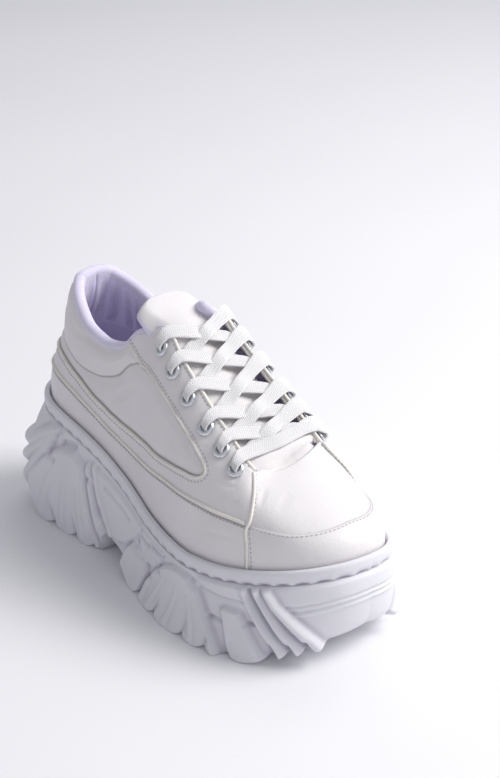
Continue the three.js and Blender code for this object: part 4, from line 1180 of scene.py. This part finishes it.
def add_welt():
    """Rounded strip round the foot of the upper, with dashed stitch dents low on it that take painted shade.
    """
    columns = 1400
    _, at, sign = ring(columns)
    run = running_length(np.stack(outline_point(at, sign), 1))
    dash = bump(0.5, 0.42, np.mod(run / WELT_STITCH, 1))
    top = sole_top(outline_point(at, sign)[0])
    rings, groove_shade = [], []
    for c, s in ellipse(2, 2, 22):
        across = RIM_STEP + CLEARANCE * 1.6 + WELT_WIDTH * (1 + powered(c, WELT_EDGE)) / 2
        rise = -RIM_DEPTH + CLEARANCE + WELT_HEIGHT * (1 + powered(s, WELT_EDGE)) / 2
        # Each stitch dent is sunk into the strip and takes painted shade
        mark = dash * (c > 0.2) * bump(-0.7, 0.45, s)
        rings.append(outline_offset(at, sign, across - WELT_DENT * mark, top + rise - 0.3 * WELT_DENT * mark))
        groove_shade.append(mark)
    grid = np.stack(rings, 1)
    piece = make_object("welt_strip", grid, grid_faces(columns, len(rings), wrap_rows=True), RUBBER,
                        groove_shade=np.stack(groove_shade, 1))
    return dress(piece, "rubber", "welt")


add_welt()


def add_insole():
    """A pad on the sole's top, its rings shrinking to the middle line."""
    columns = 240
    u, at, sign = ring(columns)
    beside = SKIN.at_place(u, INSOLE_THICKNESS * 2, -(WALL + 1))
    top = sole_top(outline_point(at, sign)[0])
    centre = 0.5 * (beside[:, :2] + beside[(-np.arange(columns)) % columns, :2])
    rings = []
    for share in np.linspace(1, 0, 16):
        xy = centre + (beside[:, :2] - centre) * share
        z = top + CLEARANCE + INSOLE_THICKNESS * (1 - 0.25 * max(0, share - 0.9) / 0.1)
        rings.append(np.column_stack([xy, z]))
    low = np.column_stack([beside[:, :2], top + CLEARANCE])
    grid = np.stack([low] + rings, 1)
    piece = make_object("insole_pad", grid, grid_faces(columns, grid.shape[1]), INSOLE)
    return dress(piece, "lining", "insole")


add_insole()


# Upper: places are a share of the side from the toe and a share of the section's length

EYESTAY_EDGE = ((0.366, 0.543), (0.346, 0.59), (0.336, 0.65), (0.349, 0.695), (0.384, 0.73), (0.42, 0.746),
                (0.464, 0.757), (0.51, 0.752), (0.56, 0.737), (0.59, 0.752), (0.607, 0.79), (0.632, 0.87),
                (0.648, 0.94), (0.658, 1.0))
COLLAR_SEAM = ((0.602, 0.78), (0.63, 0.768), (0.665, 0.745), (0.7, 0.7), (0.745, 0.632), (0.8, 0.582),
               (0.85, 0.575), (0.92, 0.59), (1.0, 0.6))
VAMP_SEAM = ((0.2, 0.96), (0.184, 0.9), (0.174, 0.82), (0.171, 0.74), (0.179, 0.6), (0.194, 0.47),
             (0.206, 0.4), (0.209, 0.25), (0.213, 0.02))
CORNER_RISE = 7.0  # of the topline's inner corner
PANEL_EDGE = 0.35  # half the width of a panel's edge
QUARTER_PAD = 0.7  # fullness of the quarter
COLLAR_PAD = 2.6  # fullness of the collar panel
EYELET_DENT = 0.55  # leather pulled in round an eyelet
GROOVE_DEPTH = 0.3
# Soft creases: ends as places, depth and half width in millimetres
CREASES = (
    ((0.225, 0.62), (0.275, 0.5), 0.5, 2.6),
    ((0.235, 0.74), (0.3, 0.63), 0.4, 2.2),
    ((0.16, 0.62), (0.12, 0.8), 0.5, 4.0),
    ((0.11, 0.55), (0.06, 0.72), 0.35, 4.5),
    ((0.24, 0.3), (0.33, 0.24), 0.3, 3.0),
    ((0.6, 0.62), (0.68, 0.48), 0.5, 5.0),
    ((0.42, 0.62), (0.56, 0.46), 0.35, 7.0),
    ((0.7, 0.9), (0.86, 0.8), 0.7, 4.0),
    ((0.88, 0.72), (0.97, 0.86), 0.5, 4.0),
)
SEAM_SIDE = 320.0  # length of one side, for distances on the surface


def on_surface(points):
    """Places as lengths over the surface: along the side and up the section."""
    at = np.array([p[0] for p in points])
    share = np.array([p[1] for p in points])
    return np.stack([at * SEAM_SIDE, share * SKIN.length_at(at / 2)], 1)


def smooth_places(points, count):
    """More places on a smooth line through a few."""
    flat = spline(np.array([(a, b, 0) for a, b in points]), count)
    return flat[:, :2]


def band_line(count):
    """The upper piped seam from the heel to the eyestay's tip, then up its edge to the topline."""
    at = np.linspace(1.0, 0.40, 24)
    u = at / 2
    heel = np.stack([at, seam_lines(u)[1] / SKIN.length_at(u)], 1)
    return smooth_places(np.concatenate([heel, EYESTAY_EDGE]), count)


def leather_relief(u, distance, length):
    """Steps, seams and padding of the outside of the leather, and where its grooves are; the grooves also
    take painted shade.
    """
    at, _ = side_of(u)
    guard, _ = seam_lines(u)
    x, y = at * SEAM_SIDE, distance
    edge = PANEL_EDGE
    side = smooth(0.185, 0.215, at)
    below = smooth(edge, -edge, distance - guard)
    vamp_line = on_surface(smooth_places(VAMP_SEAM, 30))
    vamp_x = np.interp(y, vamp_line[::-1, 1], vamp_line[::-1, 0])
    on_vamp = smooth(edge, -edge, x - vamp_x)
    loop = on_surface(band_line(90))
    collar = on_surface(smooth_places(COLLAR_SEAM, 24))
    far = np.abs(loop[:, 0] - collar[0, 0]) + (loop[:, 1] < collar[0, 1] - 6) * 999
    meeting = np.argmin(far)  # where the eyestay's edge meets the collar's seam
    quarter = inside_distance(x, y, np.concatenate([loop[:meeting + 1], collar]))
    eye_away, _ = line_distance(x, y, loop)
    collar_away, _ = line_distance(x, y, collar)
    eyestay_end = on_surface(EYESTAY_EDGE[-4:])
    panel_top = np.stack([collar[:, 0], SKIN.length_at(collar[:, 0] / SEAM_SIDE / 2)], 1)
    panel_top = panel_top[panel_top[:, 0] > eyestay_end[-1, 0]]
    panel = inside_distance(x, y, np.concatenate([collar, panel_top[::-1], eyestay_end[::-1]]))
    inside = smooth(-edge, edge, quarter)
    rise = GUARD_STEP * (1 - inside) * (1 - (1 - below) * on_vamp)
    rise = rise + QUARTER_PAD * smooth(0, 9, quarter)
    rise = rise + COLLAR_PAD * np.sqrt(smooth(-0.5, 13, panel)) * smooth(0, 6, length - y)
    rise = rise - GUARD_STEP * smooth(-1, 1, panel) * 0.6
    # Grooves beside the seams, one to each: how deep they are and how dark their painted shade is, and half
    # their width
    groove_shade = np.max([
        0.95 * bump(0, 1.1, distance - guard + 1.5) * side,
        0.5 * bump(0, 0.6, distance - guard) * (1 - side),
        0.9 * inside * bump(0, 0.8, eye_away - 1.3),
        0.8 * bump(0, 0.7, collar_away),
        0.8 * bump(0, 0.9, x - vamp_x - 1.3) * smooth(3, 2, np.abs(x - vamp_x)),
    ], 0)
    for start, end, depth, half in CREASES:
        away, share = line_distance(x, y, on_surface([start, end]))
        rise = rise - depth * np.sin(np.pi * np.clip(share, 0.02, 0.98)) * bump(0, half, away) ** 2
    for place in EYELET_PLACES:
        away = np.hypot(x - place * SEAM_SIDE, length - y - EYELET_INSET)
        rise = rise - EYELET_DENT * smooth(EYELET_FLANGE + 3.5, EYELET_FLANGE - 1, away)
    topline = smooth(0.575, 0.6, at) * smooth(3, 0.5, length - y)  # level under the collar's roll
    return (rise - GROOVE_DEPTH * groove_shade) * (1 - topline), groove_shade * (1 - topline)


def corner_rise(at, sign):
    """The topline's inner corner stands a little higher than the outer one."""
    return CORNER_RISE * bump(0.585, 0.05, at) * (sign > 0)


def edge_direction(u):
    """Direction up the surface at its upper edge."""
    return unit(SKIN.from_edge(u, 0) - SKIN.from_edge(u, 2))


def add_upper():
    """The leather shell: its outside with every seam, a cut edge and its inside."""
    columns, rows, inner_rows = 820, 106, 10
    u, at, sign = ring(columns)
    share = np.linspace(0, 1, rows)
    length = SKIN.length_at(u)
    distance = share[None, :] * length[:, None]
    grid_u = np.repeat(u[:, None], rows, 1)
    # The seams' grooves both dent the leather and carry its painted shade
    rise, groove_shade = leather_relief(grid_u, distance, length[:, None])
    outside = SKIN.at_place(grid_u, distance, rise)
    inner_share = np.linspace(1, 0, inner_rows)
    inner_u = np.repeat(u[:, None], inner_rows, 1)
    inside = SKIN.at_place(inner_u, inner_share[None, :] * length[:, None], -WALL)
    grid = np.concatenate([outside, inside], 1)
    lift = corner_rise(at, sign)[:, None] * smooth(0.8, 1, np.concatenate([share, inner_share]))
    grid = grid + lift[..., None] * edge_direction(u)[:, None, :]
    groove_shade = np.concatenate([groove_shade, np.zeros((columns, inner_rows))], 1)
    total = rows + inner_rows
    faces = grid_faces(columns, total, wrap_rows=True)
    j = np.tile(np.arange(total), columns)
    material = np.where(j >= rows, 1, 0)
    material[j == rows - 1] = 2
    piece = make_object("upper_leather", grid, faces, [LEATHER, LINING, PIPING], material, groove_shade)
    return dress(piece, "leather", "upper")


add_upper()

# Piping and stitches: lifts over the surface and distances beside a seam

GUARD_PIPE = 1.0  # radius
PIPE = 0.95
LAYER_PIPE = 1.1  # the leather's raw edge at the throat
STITCH_LIFT = GUARD_STEP + 0.12
EDGE_STITCH_LIFT = GUARD_STEP + 0.1
EDGE_STITCH = 1.6  # in from a panel's edge
GUARD_STITCH = 2.7  # below the guard's piping
BAND_STITCH = 2.4
TOPLINE_CUT = 3.0  # the upper piping ends this far under the collar's roll


def seam_frame(u, distance, lift, step):
    """Even points along a seam on the surface, and the directions across and over it."""
    line = even_line(SKIN.at_place(u, distance, lift), step)
    fine, coarse = np.linspace(0, 1, len(line)), np.linspace(0, 1, len(u))
    share = np.interp(fine, coarse, distance / SKIN.length_at(u))
    normal = SKIN.normal_at(np.interp(fine, coarse, u), share)
    return line, *frames(line, normal)


def piped_seam(name, seam, radius):
    """A cord-filled strip lying along a seam."""
    line, across, over = seam_frame(*seam, 1.0)
    grid = tube_along(line, across, over, ellipse(radius * 2, radius * 2, 12))
    return dress(capped_tube(name, grid, PIPING), "leather")


def stitches(name, seams, pitch=2.6, length=1.7, radius=0.32):
    """Rows of small thread stitches as one mesh."""
    around, along = 6, 5
    t = np.linspace(-1, 1, along)[:, None]
    size = radius * np.sqrt(np.clip(1 - (t * 0.96) ** 2, 0.02, 1))
    angle = np.arange(around) * 2 * np.pi / around
    # One stitch: places along, across and over the seam
    parts = np.broadcast_arrays(t * length / 2, np.cos(angle) * size, np.sin(angle) * size)
    stitch = np.stack(parts, -1).reshape(-1, 3)
    points = []
    for seam in seams:
        line, across, over = seam_frame(*seam, pitch)
        axes = np.stack([unit(np.gradient(line, axis=0)), across, over], 1)
        points.append((line[:, None, :] + stitch @ axes).reshape(-1, 3))
    points = np.concatenate(points)
    starts = np.arange(0, len(points), len(stitch))
    one = grid_faces(along, around, wrap_columns=False, wrap_rows=True)[:, ::-1]
    faces = (one + starts[:, None, None]).reshape(-1, 4)
    return dress(make_object(name, points, faces, THREAD), "leather")


def side_places(points, sign):
    """Places on one side as ring places and distances up the surface."""
    u = ring_place(points[:, 0], sign)
    return u, points[:, 1] * SKIN.length_at(u)


def beside(line, offset):
    """A line of ring places and distances, moved sideways by a length on the surface."""
    u, distance = line
    du, dd = np.gradient(u) * 2 * SEAM_SIDE, np.gradient(distance)
    size = np.maximum(np.hypot(du, dd), 1e-9)
    return u - dd / size * offset / (2 * SEAM_SIDE), distance + du / size * offset


def level(line, lift):
    """A seam: a line of ring places and distances, a little over the quarter's surface."""
    return *line, np.full(len(line[0]), lift)


def add_seams():
    """Piping along the panels' seams, stitches beside them, and the leather's layers at the throat."""
    foot = VAMP_SEAM[-2][0]
    around = np.linspace(foot / 2, 1 - foot / 2, 400)
    guard = around, seam_lines(around)[0]
    piped_seam("piping_guard", level(guard, GUARD_STEP + 0.35), GUARD_PIPE)
    rows = [level(beside(guard, -GUARD_STITCH), STITCH_LIFT)]
    toe = np.linspace(-foot / 2, foot / 2, 200)
    rows.append(level((toe, seam_lines(toe)[0] - EDGE_STITCH), EDGE_STITCH_LIFT))
    loops = [side_places(band_line(260), sign) for sign in (-1, 1)]
    whole = tuple(np.concatenate([outer[::-1], inner[1:]]) for outer, inner in zip(*loops))
    free = whole[1] < SKIN.length_at(whole[0]) - TOPLINE_CUT
    whole = whole[0][free], whole[1][free]
    piped_seam("piping_band", level(whole, GUARD_STEP + 0.05), PIPE)
    rows.append(level(beside(whole, -BAND_STITCH), STITCH_LIFT))
    for sign, side in ((-1, "outer"), (1, "inner")):
        vamp = side_places(smooth_places(VAMP_SEAM, 80), sign)
        piped_seam(f"piping_vamp_{side}", level(vamp, GUARD_STEP + 0.3), PIPE)
        rows.append(level(beside(vamp, BAND_STITCH * sign), STITCH_LIFT))
        rows.append(level(side_places(smooth_places(COLLAR_SEAM, 80), sign), GUARD_STEP * 0.3))
        u = ring_place(np.linspace(0.23, 0.56, 80), sign)
        rows.append(level((u, SKIN.length_at(u) - EDGE_STITCH), EDGE_STITCH_LIFT))
    stitches("seam_stitches", rows)
    # The leather's raw layers show along the throat
    for name, sign, drop in (("outer", -1, 0.0), ("inner", 1, 0.0), ("inner_low", 1, 2.1)):
        u = ring_place(np.linspace(0.205, 0.56, 160), sign)
        line = u, SKIN.length_at(u) - 0.35
        piped_seam(f"throat_layer_{name}", level(line, GUARD_STEP - 0.4 - drop), LAYER_PIPE)


add_seams()


FOLD_END = 0.52  # where the gathered lining is sewn down, share of the way to the insole
FOLD_DEPTH = 1.7
FOLD_PITCH = (11.5, 17.0)  # of two waves, so that no fold is like the next
ROLL_RADIUS = (1.2, 3.6)  # at its front corners and round the back
ROLL_FROM, ROLL_TO = math.radians(-35), math.radians(180)


def add_collar():
    """Padded collar: a rolled edge over the topline and gathered lining down to the insole."""
    columns = 520
    u = np.linspace(EYELET_PLACES[0] / 2, 1 - EYELET_PLACES[0] / 2, columns)
    at, sign = side_of(u)
    length = SKIN.length_at(u)
    full = smooth(COLLAR_START - 0.02, 0.72, at)
    corner = corner_rise(at, sign)
    radius = mix(*ROLL_RADIUS, full) + 0.3 * corner
    top = SKIN.from_edge(u, 0)
    normal = SKIN.normal_at(u, np.ones(columns))
    up = edge_direction(u)
    sink = mix(-0.5, 1.2, full) - corner
    centre = top - normal * (radius - 0.4)[:, None] - up * sink[:, None]
    rows = [centre + radius[:, None] * (math.cos(angle) * normal + math.sin(angle) * up)
            for angle in np.linspace(ROLL_FROM, ROLL_TO, 22)]
    shade_rows = [np.zeros(columns)] * len(rows)
    rolled = len(rows)
    run = running_length(top)
    fold = powered(0.6 * np.sin(run * 2 * np.pi / FOLD_PITCH[0] + 1.2 * np.sin(run * 0.11))
                   + 0.4 * np.sin(run * 2 * np.pi / FOLD_PITCH[1] + 2.0), 0.7)
    for share in np.linspace(0, 1, 44)[1:]:
        tuck = 1.2 + share * (length - 1.2)
        pad = mix(2 * radius - 0.4, 1.0, smooth(0, 0.7, share)) - WALL
        fade = smooth(0.03, 0.2, share) * smooth(FOLD_END, FOLD_END - 0.08, share) * full
        below = smooth(FOLD_END, FOLD_END + 0.03, share) * full
        seam = bump(0.5, 0.004, u) * full
        lift = -WALL - np.maximum(pad, 0.5) - fold * FOLD_DEPTH * fade + 0.8 * seam + 0.9 * below
        rows.append(SKIN.from_edge(u, tuck, np.minimum(lift, -WALL - 0.3)))
        # Painted shade on one side of each fold, along the centre-back seam and on the lining below the folds
        shade_rows.append(np.clip(np.clip(fold * fade, 0, 1) * 0.8 + 0.7 * seam + 0.45 * below, 0, 1))
    grid = np.stack(rows, 1)
    faces = grid_faces(columns, grid.shape[1], wrap_columns=False)
    j = np.tile(np.arange(grid.shape[1] - 1), columns - 1)
    piece = make_object("collar_lining", grid, faces, [COLLAR, LINING], j > rolled, np.stack(shade_rows, 1))
    return dress(piece, "lining")


add_collar()
